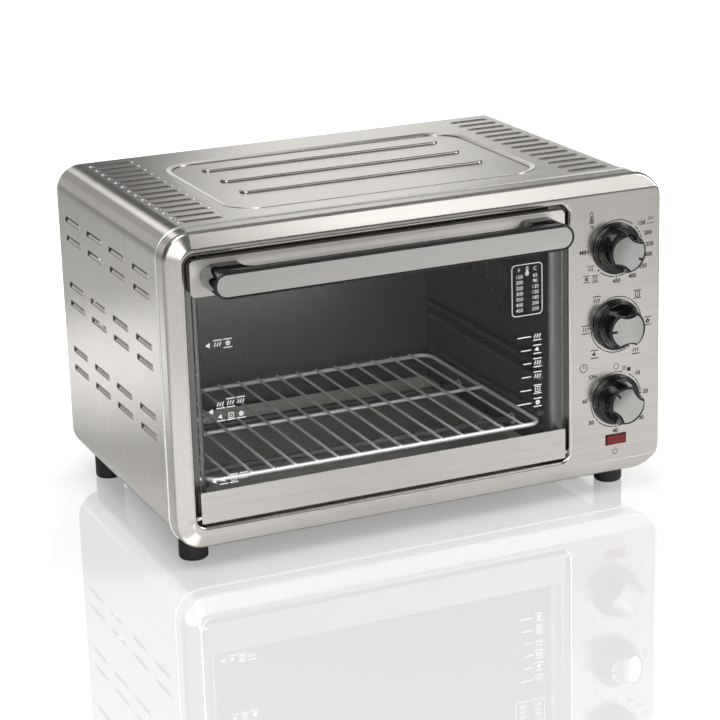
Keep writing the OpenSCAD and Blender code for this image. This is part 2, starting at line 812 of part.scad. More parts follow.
module rod_holes(x) {
    for (y = rod_rows, z = [rod_low_z, rod_high_z])
        translate([x - 2*sheet_t, y, z]) rotate([0, 90, 0])
            cylinder(r = collar_r + seat_gap, h = 4*sheet_t);
}

// A wall with its flange at the mouth: x points out of the cavity, y from the mouth to the rear
module wall_profile(depth) {
    translate([0, bend_r]) square([sheet_t, depth - bend_r]);
    translate([bend_r, 0]) square([mouth_w - bend_r, sheet_t]);
    difference() {
        intersection() {
            translate([bend_r, bend_r]) circle(bend_r);
            square(bend_r);
        }
        translate([bend_r, bend_r]) circle(bend_r - sheet_t);
    }
}

module side_wall(x, side) {
    difference() {
        union() {
            translate([x, mouth_y - sheet_t, cav_z0 - sheet_t]) mirror([side > 0 ? 1 : 0, 0, 0])
                linear_extrude(cav_h + 2*sheet_t) wall_profile(cav_d + 2*sheet_t);
            wall_guides(x, side);
        }
        rod_holes(x);
    }
}

module cavity_left_wall() { color(aluminised) side_wall(cav_x0, 1); }

module cavity_right_wall() {
    color(aluminised) difference() {
        side_wall(cav_x1, -1);
        at_fan() translate([0, 0, -eps]) cylinder(r = fan_hole, h = 2*sheet_t);
    }
}

module cavity_roof() {
    color(aluminised) translate([0, mouth_y - sheet_t, cav_z1]) sideways(cav_x0, cav_w)
        mirror([1, -1]) wall_profile(cav_d + sheet_t);
}

module cavity_floor() {
    color(aluminised) translate([0, mouth_y - sheet_t, cav_z0]) mirror([0, 0, 1])
        sideways(cav_x0, cav_w) mirror([1, -1]) wall_profile(cav_d + sheet_t);
}

module cavity_back() {
    color(aluminised) translate([cav_x0, back_y, cav_z0 - sheet_t])
        cube([cav_w, sheet_t, cav_h + 2*sheet_t]);
}

// Heating rods and their insulators
module heater(y, z) {
    tail = sheet_t + stone_l + rod_tail;
    color(dark_steel) translate([cav_x0 - tail, y, z]) rotate([0, 90, 0])
        cylinder(r = rod_r, h = cav_w + 2*tail);
}

module upper_front_heater() { heater(rod_rows[0], rod_high_z); }
module upper_rear_heater() { heater(rod_rows[1], rod_high_z); }
module lower_front_heater() { heater(rod_rows[0], rod_low_z); }
module lower_rear_heater() { heater(rod_rows[1], rod_low_z); }

module insulator() {
    difference() {
        union() {
            translate([0, 0, sheet_t]) cylinder(r = stone_r, h = stone_l);
            translate([0, 0, -sheet_t]) cylinder(r = collar_r, h = 3*sheet_t);
        }
        translate([0, 0, -2*sheet_t]) cylinder(r = rod_r + seat_gap, h = stone_l + 5*sheet_t);
    }
}

module heater_insulators() {
    color(stone) for (y = rod_rows, z = [rod_low_z, rod_high_z], side = [0, 1])
        translate([open_x, y, z]) mirror([side, 0, 0]) translate([cav_w/2, 0, 0])
            rotate([0, 90, 0]) insulator();
}

module crumb_tray() {
    w = cav_w - 2*tray_gap;
    l = cav_d - 2*tray_gap;
    color(aluminised) translate([open_x, mouth_y + cav_d/2, cav_z0]) difference() {
        linear_extrude(tray_h) rounded(w, l, tray_r);
        translate([0, 0, sheet_t]) linear_extrude(tray_h)
            rounded(w - 2*sheet_t, l - 2*sheet_t, tray_r - sheet_t);
    }
}

// Convection fan on the right wall of the cavity
module at_fan() {
    translate([cav_x1, fan_y, fan_z]) rotate([0, 90, 0]) children();
}

module fan_guard() {
    color(aluminised) at_fan() translate([0, 0, -sheet_t - seat_gap/3]) difference() {
        cylinder(r = fan_hole + guard_rim, h = sheet_t);
        for (ring = [0:guard_rings - 1], i = [0:guard_n - 1])
            rotate(i*360/guard_n) translate([guard_first + ring*guard_pitch, 0, -eps])
                linear_extrude(2*sheet_t) slot(guard_slot_l, guard_slot_w);
    }
}

module fan_housing() {
    color(aluminised) at_fan() translate([0, 0, sheet_t]) difference() {
        union() {
            cylinder(r = fan_hole + sheet_t, h = fan_d);
            cylinder(r = fan_hole + guard_rim, h = sheet_t);
        }
        translate([0, 0, -eps]) cylinder(r = fan_hole, h = fan_d - sheet_t + eps);
        cylinder(r = shaft_r + 2*seat_gap, h = 2*fan_d);
    }
}

module fan_motor() {
    bar_t = 2*sheet_t;
    color(dark_steel) at_fan() translate([0, 0, sheet_t + fan_d]) difference() {
        union() {
            cylinder(r = motor_r, h = motor_l);
            translate([-motor_bar/2, -hub_r, 0]) cube([motor_bar, 2*hub_r, bar_t]);
            translate([0, 0, motor_l]) cylinder(r = hub_r, h = bar_t);
        }
        translate([0, 0, -eps]) cylinder(r = shaft_r + run_gap, h = bearing_d + eps);
    }
}

module fan_shaft() {
    color(bright_steel) at_fan() translate([0, 0, sheet_t + fan_d - fan_reach])
        cylinder(r = shaft_r, h = fan_reach + bearing_d - seat_gap);
}

module fan_blade() {
    color(aluminised) at_fan() translate([0, 0, sheet_t + blade_in]) difference() {
        union() {
            cylinder(r = hub_r, h = blade_d);
            intersection() {
                cylinder(r = blade_r, h = blade_d);
                union() {
                    cylinder(r = blade_r/2, h = sheet_t);
                    for (i = [0:blade_n - 1]) rotate(i*360/blade_n)
                        translate([0, 0, blade_d/2]) rotate([blade_slope + 90, 0, 0])
                            translate([0, -blade_d, -sheet_t/2])
                                cube([blade_r + eps, 2*blade_d, sheet_t]);
                }
            }
        }
        translate([0, 0, -eps]) cylinder(r = shaft_r + run_gap, h = blade_d + 2*eps);
    }
}

// Switch bodies, shafts and dials
module switch_body(z, tone) {
    color(tone) to_front(dial_x, panel_y + sheet_t + switch_d, z) difference() {
        union() {
            linear_extrude(switch_d - neck_l) rounded(switch_w, switch_h, 3*sheet_t);
            cylinder(r = neck_r, h = switch_d);
            for (s = [-1, 0, 1]) translate([s*pole_pitch - sheet_t/2, -pole_h/2, -pole_l])
                cube([sheet_t, pole_h, pole_l + eps]);
        }
        translate([0, 0, switch_d - socket_d]) cylinder(r = shaft_r + run_gap, h = switch_d);
    }
}

module thermostat() { switch_body(dial_z[0], stone); }
module function_switch() { switch_body(dial_z[1], dark_steel); }
module timer() { switch_body(dial_z[2], brass_tone); }

module shaft(z) {
    inside = sheet_t + socket_d - seat_gap;
    color(bright_steel) to_front(dial_x, panel_y + inside, z)
        cylinder(r = shaft_r, h = inside + dial_bore - seat_gap);
}

module temperature_shaft() { shaft(dial_z[0]); }
module function_shaft() { shaft(dial_z[1]); }
module timer_shaft() { shaft(dial_z[2]); }

module at_scoops() {
    for (s = [-1, 1]) translate([s*(waist + scoop_r), 0, 0]) children();
}

module knob_profile() {
    edge = dial_skirt/2;
    skirt_top = dial_gap + dial_skirt;
    dome_h = dial_h - skirt_top;
    fall = dome_r - grip_r;
    bulge_r = (dome_h*dome_h + fall*fall)/(2*fall);
    translate([0, dial_gap]) square([dial_r, dial_skirt - edge]);
    translate([0, dial_gap]) square([dial_r - edge, dial_skirt]);
    translate([dial_r - edge, skirt_top - edge]) circle(edge);
    intersection() {
        translate([0, skirt_top - eps]) square([dome_r, dome_h + eps]);
        translate([dome_r - bulge_r, skirt_top]) circle(bulge_r);
    }
}

module knob(z, at) {
    hollow_z = dial_gap + dial_skirt + 2*sheet_t;
    color(black) to_front(dial_x, panel_y, z) rotate(-at) difference() {
        rotate_extrude() knob_profile();
        at_scoops() translate([0, 0, hollow_z]) cylinder(r = scoop_r, h = dial_h);
        translate([0, 0, dial_h - inlay_t - seat_gap/3])
            linear_extrude(2*inlay_t) inlay_outline(seat_gap);
        cylinder(r = shaft_r + run_gap, h = dial_bore);
    }
}

module inlay_outline(grow) {
    difference() {
        circle(grip_r - inlay_edge + grow);
        at_scoops() circle(scoop_r + inlay_edge - grow);
    }
}

module inlay(z, at) {
    color(bright_steel) to_front(dial_x, panel_y, z) rotate(-at)
        translate([0, 0, dial_h - inlay_t - seat_gap/3]) linear_extrude(inlay_t) difference() {
            inlay_outline(0);
            translate([-notch_w/2, grip_r - inlay_edge - notch_l]) square([notch_w, 2*notch_l]);
        }
}

module temperature_knob() { knob(dial_z[0], temperature_at); }
module function_knob() { knob(dial_z[1], function_at); }
module timer_knob() { knob(dial_z[2], timer_at); }
module temperature_inlay() { inlay(dial_z[0], temperature_at); }
module function_inlay() { inlay(dial_z[1], function_at); }
module timer_inlay() { inlay(dial_z[2], timer_at); }

// Power lamp
module lamp_lens() {
    color(lens_red) translate([dial_x, 0, lamp_z]) {
        upright(panel_y - lamp_out, lamp_out + 2*sheet_t) square([lamp_w, lamp_h], center = true);
        upright(panel_y + sheet_t, 2*sheet_t)
            square([lamp_w + 2*lamp_rim, lamp_h + 2*lamp_rim], center = true);
    }
}

module lamp_holder() {
    color(black) translate([dial_x, 0, lamp_z])
        upright(panel_y + 3*sheet_t, lamp_d) square([lamp_w, lamp_h], center = true);
}

// Door hinges: a pin on a leaf inside the trim, in a spring housing behind the frame
module at_hinge(side) {
    translate([open_x, hinge_y, hinge_z]) mirror([side < 0 ? 1 : 0, 0, 0]) children();
}

module hinge_block(side) {
    front = pin_r + run_gap + ear_wall;
    rear = open_d - hinge_in - seat_gap;
    color(dark_steel) at_hinge(side) translate([open_w/2 + over, 0, 0]) difference() {
        union() {
            translate([0, -front, -block_r]) cube([ear_t, front + rear, 2*block_r]);
            translate([0, rear - block_d, -block_r]) cube([block_l, block_d, 2*block_r]);
        }
        translate([-eps, 0, 0]) rotate([0, 90, 0]) cylinder(r = pin_r + run_gap, h = ear_bore + eps);
    }
}

module hinge_block_left() { hinge_block(-1); }
module hinge_block_right() { hinge_block(1); }

module hinge_pin(side) {
    pin_l = sheet_t + door_side + over + ear_bore - seat_gap;
    color(bright_steel) at_hinge(side) translate([door_w/2 - sheet_t, 0, 0]) union() {
        translate([-leaf_t, -hinge_in + sheet_t, -hinge_up + trim_r])
            cube([leaf_t, trim_d - sheet_t, hinge_up - trim_r + leaf_h]);
        translate([-leaf_t/2, 0, 0]) rotate([0, 90, 0]) cylinder(r = pin_r, h = leaf_t/2 + pin_l);
    }
}

module hinge_pin_left() { hinge_pin(-1); }
module hinge_pin_right() { hinge_pin(1); }

// Door: glass held between a rail, a trim and two clamp strips
module door_channel(z0, h, r, open_from, open_to) {
    translate([open_x, 0, z0 + h/2]) difference() {
        upright(panel_y, trim_d) rounded(door_w, h, r);
        upright(panel_y + sheet_t, trim_d) rounded(door_w - 2*sheet_t, h - 2*sheet_t, r - sheet_t);
        translate([0, 0, (open_from + open_to)/2 - z0 - h/2]) upright(panel_y + sheet_t, trim_d)
            square([door_w + 2*eps, open_to - open_from], center = true);
    }
}

module door_top_rail() {
    color(steel) difference() {
        door_channel(rail_z0, rail_h, rail_r, rail_z0 - eps, rail_z0 + rail_r);
        for (x = screw_xs()) to_front(x, panel_y + sheet_t + eps, screw_z())
            cylinder(r = screw_r + seat_gap, h = sheet_t + 2*eps);
    }
}

module door_bottom_trim() {
    color(steel) difference() {
        door_channel(door_z0, trim_h, trim_r, door_z0 + trim_h - trim_r, door_z0 + trim_h + eps);
        for (side = [-1, 1]) at_hinge(side) translate([door_w/2 - 2*sheet_t, 0, 0])
            rotate([0, 90, 0]) cylinder(r = pin_r + seat_gap, h = 3*sheet_t);
    }
}

module door_glass() {
    color(pane) translate([open_x, 0, (glass_z0 + glass_z1)/2])
        upright(glass_y, glass_t) rounded(glass_w, glass_z1 - glass_z0, glass_r);
}

// A strip from one height to another with a foot at the other
module clamp(z_edge, z_foot) {
    depth = clamp_y + sheet_t - glass_y + seat_gap;
    up = z_foot > z_edge;
    color(aluminised) translate([open_x - glass_w/2, panel_y + sheet_t, 0]) {
        translate([0, depth - sheet_t, min(z_edge, z_foot)])
            cube([glass_w, sheet_t, abs(z_foot - z_edge)]);
        translate([0, 0, up ? z_foot - sheet_t : z_foot]) cube([glass_w, depth, sheet_t]);
    }
}

module door_top_clamp() { clamp(rail_z0 + clamp_in, glass_z1 + clamp_off + sheet_t); }
module door_bottom_clamp() {
    clamp(door_z0 + trim_h - clamp_in, glass_z0 - clamp_off - sheet_t);
}

// Handle
function screw_xs() = [for (s = [-1, 1]) open_x + s*(handle_l/2 - post_w/2)];
function screw_z() = (glass_z1 + clamp_off + 2*sheet_t + door_z1)/2;

module finger_gap() {
    gap_l = handle_l - 2*post_w;
    gap_d = handle_reach - grip_t;
    flat_d = gap_d - grip_round;
    translate([-gap_l/2, -flat_d]) square([gap_l, flat_d + eps]);
    translate([-gap_l/2 + grip_round, -gap_d]) square([gap_l - 2*grip_round, gap_d]);
    for (s = [-1, 1]) translate([s*(gap_l/2 - grip_round), -flat_d]) circle(grip_round);
}

module handle_body() {
    front_y = panel_y - handle_reach;
    color(black) difference() {
        translate([open_x, 0, handle_z]) upright(front_y, handle_reach) slot(handle_l, handle_h);
        translate([open_x, panel_y, handle_z - handle_h]) linear_extrude(2*handle_h) finger_gap();
        translate([open_x, 0, handle_z]) upright(front_y - eps, inlay_t + seat_gap + eps)
            slot(handle_l - 2*inlay_edge, handle_h - 2*inlay_edge);
        for (x = screw_xs()) to_front(x, panel_y + eps, screw_z())
            cylinder(r = screw_r + run_gap, h = screw_hold + seat_gap + eps);
    }
}

module handle_inlay() {
    edge = inlay_edge + seat_gap;
    color(bright_steel) translate([open_x, 0, handle_z])
        upright(panel_y - handle_reach + seat_gap, inlay_t)
            slot(handle_l - 2*edge, handle_h - 2*edge);
}

module handle_screws() {
    inside = sheet_t + screw_head_t;
    color(bright_steel) for (x = screw_xs()) to_front(x, panel_y + inside, screw_z()) {
        cylinder(r = screw_head_r, h = screw_head_t);
        cylinder(r = screw_r, h = inside + screw_hold);
    }
}

// Wire rack
module wire_rack() {
    w = cav_w - 2*(rack_gap + rack_r);
    l = cav_d - rack_front - rack_back;
    pitch = w/(wire_n + 1);
    color(bright_steel) translate([open_x, mouth_y + rack_front + l/2, rack_z]) {
        swept(w, l, rack_corner) circle(rack_r, $fn = 24);
        for (i = [1:wire_n]) translate([i*pitch - w/2, 0, rack_r]) rotate([90, 0, 0])
            cylinder(r = wire_r, h = l + 2*wire_r, center = true, $fn = 16);
        rotate([0, 90, 0]) cylinder(r = bar_r, h = w, center = true, $fn = 24);
    }
}

front_fascia();
outer_wrap();
base_plate();
rear_panel();
cord_gland();
foot_front_left();
foot_front_right();
foot_rear_left();
foot_rear_right();
foot_screws();
cavity_left_wall();
cavity_right_wall();
cavity_roof();
cavity_floor();
cavity_back();
upper_front_heater();
upper_rear_heater();
lower_front_heater();
lower_rear_heater();
heater_insulators();
crumb_tray();
fan_guard();
fan_housing();
fan_motor();
fan_blade();
fan_shaft();
thermostat();
function_switch();
timer();
lamp_lens();
lamp_holder();
temperature_shaft();
temperature_knob();
temperature_inlay();
function_shaft();
function_knob();
function_inlay();
timer_shaft();
timer_knob();
timer_inlay();
hinge_block_left();
hinge_block_right();
hinge_pin_left();
hinge_pin_right();
door_top_rail();
door_bottom_trim();
door_glass();
door_top_clamp();
door_bottom_clamp();
handle_body();
handle_inlay();
handle_screws();
wire_rack();
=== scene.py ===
# %% [markdown]
# # A countertop toaster oven, dressed for a studio picture
# The solid model already holds every rigid piece and joint. This lesson loads it as a fixed frame,
# gives each surface a finish, softens the edges that light would catch, and adds the printed marks.
# Everything is in metres, and the door faces -Y.

# %% Load the solid model
import json
import math

import bmesh
import bpy
from mathutils import Matrix, Vector


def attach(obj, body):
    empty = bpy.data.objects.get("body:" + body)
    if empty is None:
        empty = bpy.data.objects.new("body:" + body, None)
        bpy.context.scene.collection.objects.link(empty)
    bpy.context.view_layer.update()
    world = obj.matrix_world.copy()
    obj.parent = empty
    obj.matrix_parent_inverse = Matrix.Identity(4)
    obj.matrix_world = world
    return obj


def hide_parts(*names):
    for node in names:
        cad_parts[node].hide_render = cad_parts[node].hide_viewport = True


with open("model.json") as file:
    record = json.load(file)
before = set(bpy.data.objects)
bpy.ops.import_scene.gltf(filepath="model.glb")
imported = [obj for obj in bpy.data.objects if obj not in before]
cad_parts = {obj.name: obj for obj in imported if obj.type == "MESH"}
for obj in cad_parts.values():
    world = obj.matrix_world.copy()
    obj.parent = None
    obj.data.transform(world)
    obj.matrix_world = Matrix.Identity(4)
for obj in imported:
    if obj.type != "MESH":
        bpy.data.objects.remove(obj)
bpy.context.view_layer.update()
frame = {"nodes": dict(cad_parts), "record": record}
nodes = frame["nodes"]

# %% [markdown]
# The camera stands to the left of the oven and looks down on it with a long lens. It could be aimed
# with a constraint, but a matrix built from three angles keeps the slight roll of the picture too.

# %% Camera
yaw, pitch, roll = 0.409, 0.3054, -0.0297
ahead = Vector((math.sin(yaw)*math.cos(pitch), math.cos(yaw)*math.cos(pitch), -math.sin(pitch)))
level = Vector((math.cos(yaw), -math.sin(yaw), 0))
above = level.cross(ahead)
across = math.cos(roll)*level + math.sin(roll)*above
upward = -math.sin(roll)*level + math.cos(roll)*above
lens = bpy.data.cameras.new("studio_camera")
lens.lens, lens.sensor_width, lens.clip_end = 120.39, 36, 60
camera = bpy.data.objects.new("studio_camera", lens)
camera.matrix_world = Matrix.Translation((-0.93999, -2.15864, 0.87908)) @ Matrix((across, upward, -ahead)).transposed().to_4x4()
bpy.context.scene.collection.objects.link(camera)
bpy.context.scene.camera = camera
print("camera at", tuple(round(v, 3) for v in camera.matrix_world.translation))

# %% [markdown]
# Shader trees are easier to read when one helper places a node, fills its sockets and links what it
# is given. A socket gets a plain value when the value is the same all over, and a link when it varies.

# %% Helpers for shader nodes
def put(tree, kind, props=None, **sockets):
    shader_node = tree.nodes.new(kind)
    for key, value in (props or {}).items():
        setattr(shader_node, key, value)
    for key, value in sockets.items():
        socket = shader_node.inputs[int(key[1:])] if key[1:].isdigit() else shader_node.inputs[key.replace("_", " ")]
        if isinstance(value, bpy.types.NodeSocket):
            tree.links.new(value, socket)
        else:
            socket.default_value = value
    return shader_node


def sums(tree, operation, a, b, clamp=False):
    return put(tree, "ShaderNodeMath", {"operation": operation, "use_clamp": clamp}, _0=a, _1=b).outputs[0]


def span(tree, value, low, high, to_low=0.0, to_high=1.0, smooth=False):
    kind = "SMOOTHSTEP" if smooth else "LINEAR"
    return put(tree, "ShaderNodeMapRange", {"interpolation_type": kind}, Value=value, _1=low, _2=high,
               _3=to_low, _4=to_high).outputs[0]


def blend_colour(tree, factor, dark, light):
    return put(tree, "ShaderNodeMix", {"data_type": "RGBA"}, _0=factor, _6=dark, _7=light).outputs[2]


def grey(v, a=1.0):
    return (v, v, v, a)


# %% [markdown]
# A studio is a roll of white paper and a few soft lights in a dim room. The camera sees plain white.
# Metal sees the roll as the strip that it is, hanging behind the oven, and beside it the dim room and
# the lights, because brushed steel looks flat without something dark to mirror.

# %% Studio world
world = bpy.data.worlds.new("studio")
bpy.context.scene.world = world
world.use_nodes = True
sky = world.node_tree
sky.nodes.clear()
aim = put(sky, "ShaderNodeTexCoord").outputs["Generated"]
room = 0.14


def glow_towards(direction, edge, core, strength):
    facing = put(sky, "ShaderNodeVectorMath", {"operation": "DOT_PRODUCT"}, _0=aim, _1=Vector(direction).normalized())
    return span(sky, facing.outputs["Value"], edge, core, 0.0, strength, True)


def paper_roll(middle, core, edge):
    along = put(sky, "ShaderNodeSeparateXYZ", Vector=aim).outputs
    aside = sums(sky, "ABSOLUTE", sums(sky, "SUBTRACT", sums(sky, "DIVIDE", along["X"], along["Y"]), middle), 0.0)
    strip = span(sky, aside, core, edge, 1.0, 0.0, True)
    return sums(sky, "MULTIPLY", strip, span(sky, along["Y"], 0.3, 0.5))


for direction, edge, core, strength in [
    ((-0.05, 0.87, 0.49), 0.985, 0.998, 1.8),
    ((-0.45, 0.88, 0.10), 0.970, 0.995, 0.5),
    ((-0.24, -0.92, 0.32), 0.955, 0.988, 2.2),
    ((-0.39, -0.88, 0.13), 0.965, 0.992, 1.6),
    ((0.398, -0.740, 0.543), 0.9950, 0.9995, 3.2),
    ((0.74, -0.50, 0.45), 0.900, 0.985, 1.3),
    ((0.00, 0.20, 0.98), 0.500, 0.900, 0.12),
    ((-0.30, 0.87, 0.38), 0.970, 0.995, 0.4),
    ((0.50, 0.86, 0.05), 0.985, 0.997, 2.0),
]:
    room = sums(sky, "ADD", glow_towards(direction, edge, core, strength), room)
ray = put(sky, "ShaderNodeLightPath")
shown = sums(sky, "MAXIMUM", ray.outputs["Is Camera Ray"], ray.outputs["Is Transmission Ray"])
shown = sums(sky, "MAXIMUM", shown, ray.outputs["Is Singular Ray"])
shown = sums(sky, "MAXIMUM", shown, sums(sky, "MULTIPLY", ray.outputs["Is Glossy Ray"], paper_roll(0.43, 0.035, 0.115)))
strength = put(sky, "ShaderNodeMix", {"data_type": "FLOAT"}, _0=shown, _2=room, _3=1.0).outputs[0]
paper = put(sky, "ShaderNodeBackground", Color=(1.0, 0.995, 0.985, 1.0), Strength=strength)
put(sky, "ShaderNodeOutputWorld", Surface=paper.outputs[0])
bpy.context.scene.view_settings.view_transform = "Standard"
print("studio world ready")

# %% [markdown]
# The oven stands on glossy white acrylic. The sheet is paper-white, keeps a soft shadow under the oven
# and mirrors it faintly where its mirror image lies, more at a flat angle. Fresnel gives that change
# by itself. The shadow is partly real, from the lamps, and partly painted: the sheet's own glow is
# dimmed near the oven and where its mirror image lies. Two pools of light, painted on the sheet and
# seen only by mirrored rays, are what the side and the front of the oven reflect.

# %% Floor and lamps
def studio_floor():
    sheet = bmesh.new()
    bmesh.ops.create_grid(sheet, x_segments=1, y_segments=1, size=14)
    mesh = bpy.data.meshes.new("studio_floor")
    sheet.to_mesh(mesh)
    sheet.free()
    floor = bpy.data.objects.new("studio_floor", mesh)
    bpy.context.scene.collection.objects.link(floor)
    acrylic = bpy.data.materials.new("white_acrylic")
    acrylic.use_nodes = True
    tree = acrylic.node_tree
    tree.nodes.clear()
    place = put(tree, "ShaderNodeTexCoord").outputs["Object"]
    along = put(tree, "ShaderNodeSeparateXYZ", Vector=place).outputs

    def pool(x, y, core, edge, level):
        far = put(tree, "ShaderNodeVectorMath", {"operation": "DISTANCE"}, _0=place, _1=(x, y, 0)).outputs["Value"]
        return span(tree, far, core, edge, level, 0.0, True)

    path = put(tree, "ShaderNodeLightPath")
    seen = sums(tree, "MAXIMUM", path.outputs["Is Camera Ray"], path.outputs["Is Transmission Ray"])
    before = sums(tree, "MAXIMUM", pool(0.48, -0.62, 0.3, 0.95, 0.3), pool(-0.45, -0.45, 0.15, 0.6, 0.6))
    # Under the oven's front the pools stop: a painted shadow in the mirrored glow.
    before = sums(tree, "MULTIPLY", before, span(tree, along["Y"], -0.17, -0.13, 1.0, 0.0))
    before = sums(tree, "MULTIPLY", before, span(tree, along["X"], 0.58, 0.76, 1.0, 0.25))
    far_left = sums(tree, "MAXIMUM", span(tree, along["X"], 0.10, 0.45, 0.1, 1.0), span(tree, along["Y"], -0.85, -0.6, 0.0, 1.0))
    before = sums(tree, "MULTIPLY", before, far_left)
    beside = sums(tree, "MAXIMUM", pool(-0.48, 0.52, 0.05, 0.4, 0.68), pool(-0.50, 0.65, 0.3, 0.95, 0.1))
    beside = sums(tree, "MAXIMUM", beside, pool(0.75, 1.6, 0.5, 1.3, 0.9))
    mirrored = sums(tree, "MULTIPLY", path.outputs["Is Glossy Ray"], sums(tree, "MAXIMUM", before, beside))
    # Painted shadow: the sheet's own glow is dimmed near the oven's footprint and halved where the oven's mirror image
    # lies.
    beyond_x = sums(tree, "MAXIMUM", sums(tree, "SUBTRACT", sums(tree, "ABSOLUTE", along["X"], 0.0), 0.26), 0.0)
    beyond_y = sums(tree, "MAXIMUM", sums(tree, "SUBTRACT", sums(tree, "ABSOLUTE", along["Y"], 0.0), 0.17), 0.0)
    glow_with_painted_shadow = span(tree, sums(tree, "ADD", beyond_x, beyond_y), 0.0, 0.16, 0.42, 1.0)
    slant = sums(tree, "ADD", sums(tree, "SUBTRACT", along["X"], sums(tree, "MULTIPLY", along["Y"], 0.433)), 0.008)
    image = span(tree, sums(tree, "ABSOLUTE", slant, 0.0), 0.32, 0.42, 1.0, 0.0, True)
    image = sums(tree, "MULTIPLY", image, span(tree, along["Y"], 0.1, 0.4, 1.0, 0.0))
    image_fades = sums(tree, "MULTIPLY", image, span(tree, along["Y"], -1.0, -0.6, 0.0, 1.0))
    glow_with_painted_shadow = sums(tree, "MINIMUM", glow_with_painted_shadow, span(tree, image_fades, 0.0, 1.0, 1.0, 0.5))
    glow = sums(tree, "MAXIMUM", sums(tree, "MULTIPLY", seen, glow_with_painted_shadow), mirrored)
    lit = put(tree, "ShaderNodeBsdfDiffuse", Color=grey(0.8))
    own = put(tree, "ShaderNodeEmission", Color=grey(1.0), Strength=glow)
    white = put(tree, "ShaderNodeAddShader", _0=lit.outputs[0], _1=own.outputs[0])
    mirror = put(tree, "ShaderNodeBsdfGlossy", Color=grey(1.0), Roughness=0.0)
    share = sums(tree, "MULTIPLY", put(tree, "ShaderNodeFresnel", IOR=3.3).outputs[0], image)
    skin = put(tree, "ShaderNodeMixShader", _0=share, _1=white.outputs[0], _2=mirror.outputs[0])
    put(tree, "ShaderNodeOutputMaterial", Surface=skin.outputs[0])
    mesh.materials.append(acrylic)


def softbox(name, place, target, size, watts):
    light = bpy.data.lights.new(name, "AREA")
    light.shape, light.size, light.size_y, light.energy = "RECTANGLE", size[0], size[1], watts
    lamp = bpy.data.objects.new(name, light)
    turn = (Vector(target) - Vector(place)).to_track_quat("-Z", "Y")
    lamp.matrix_world = Matrix.LocRotScale(Vector(place), turn, None)
    bpy.context.scene.collection.objects.link(lamp)


studio_floor()
softbox("right_softbox", (1.75, -1.15, 1.5), (0.16, -0.15, 0.3), (0.8, 0.8), 13)
softbox("fill_softbox", (-0.9, -1.2, 2.8), (0, 0, 0.2), (1.6, 1.6), 30)
softbox("low_softbox", (-0.82, -2.4, 1.05), (0, -0.15, 0.2), (0.5, 0.5), 6)
print("floor and three softboxes placed")

# %% [markdown]
# Most finishes share two effects. Brushing leaves fine streaks along one direction, and handling
# leaves faint clouds. Each is a node group with a scale input, so every sheet can have its own grain.

# %% Shared effects
def effect_group(name, inputs, outputs):
    group = bpy.data.node_groups.new(name, "ShaderNodeTree")
    for label, kind in inputs:
        group.interface.new_socket(label, in_out="INPUT", socket_type=kind)
    for label, kind in outputs:
        group.interface.new_socket(label, in_out="OUTPUT", socket_type=kind)
    return group, group.nodes.new("NodeGroupInput"), group.nodes.new("NodeGroupOutput")


def make_grain():
    group, given, made = effect_group("brushed_grain", [("Place", "NodeSocketVector"), ("Stretch", "NodeSocketVector")],
                                      [("Streak", "NodeSocketFloat"), ("Cloud", "NodeSocketFloat")])
    drawn = put(group, "ShaderNodeVectorMath", {"operation": "MULTIPLY"}, _0=given.outputs["Place"], _1=given.outputs["Stretch"])
    fine = put(group, "ShaderNodeTexNoise", Vector=drawn.outputs[0], Scale=1.0, Detail=4.0, Roughness=0.65)
    cloud = put(group, "ShaderNodeTexNoise", Vector=given.outputs["Place"], Scale=9.0, Detail=3.0, Roughness=0.5)
    group.links.new(fine.outputs[0], made.inputs["Streak"])
    group.links.new(cloud.outputs[0], made.inputs["Cloud"])
    return group


def make_speckle():
    group, given, made = effect_group("moulded_speckle", [("Place", "NodeSocketVector"), ("Size", "NodeSocketFloat")],
                                      [("Speck", "NodeSocketFloat"), ("Patch", "NodeSocketFloat")])
    fine = put(group, "ShaderNodeTexNoise", Vector=given.outputs["Place"], Scale=given.outputs["Size"], Detail=2.0)
    wide = put(group, "ShaderNodeTexNoise", Vector=given.outputs["Place"], Scale=25.0, Detail=2.0)
    group.links.new(fine.outputs[0], made.inputs["Speck"])
    group.links.new(wide.outputs[0], made.inputs["Patch"])
    return group


grain_group, speckle_group = make_grain(), make_speckle()
print("effect groups:", [g.name for g in bpy.data.node_groups])

# %% [markdown]
# Brushed steel is a mirror with thousands of parallel scratches. The streaks vary the roughness and
# tilt the surface a little, so lights smear across the grain. The shader smears them too when it is
# told which way lies across: a UV map named grain says so. A faint cloud keeps large panels alive.

# %% Finish builders
def start_finish(name):
    finish = bpy.data.materials.new(name)
    finish.use_nodes = True
    tree = finish.node_tree
    shader = tree.nodes["Principled BSDF"]
    place = put(tree, "ShaderNodeTexCoord").outputs["Object"]
    return finish, tree, shader, place


def fill(shader, **values):
    for key, value in values.items():
        shader.inputs[key.replace("_", " ")].default_value = value


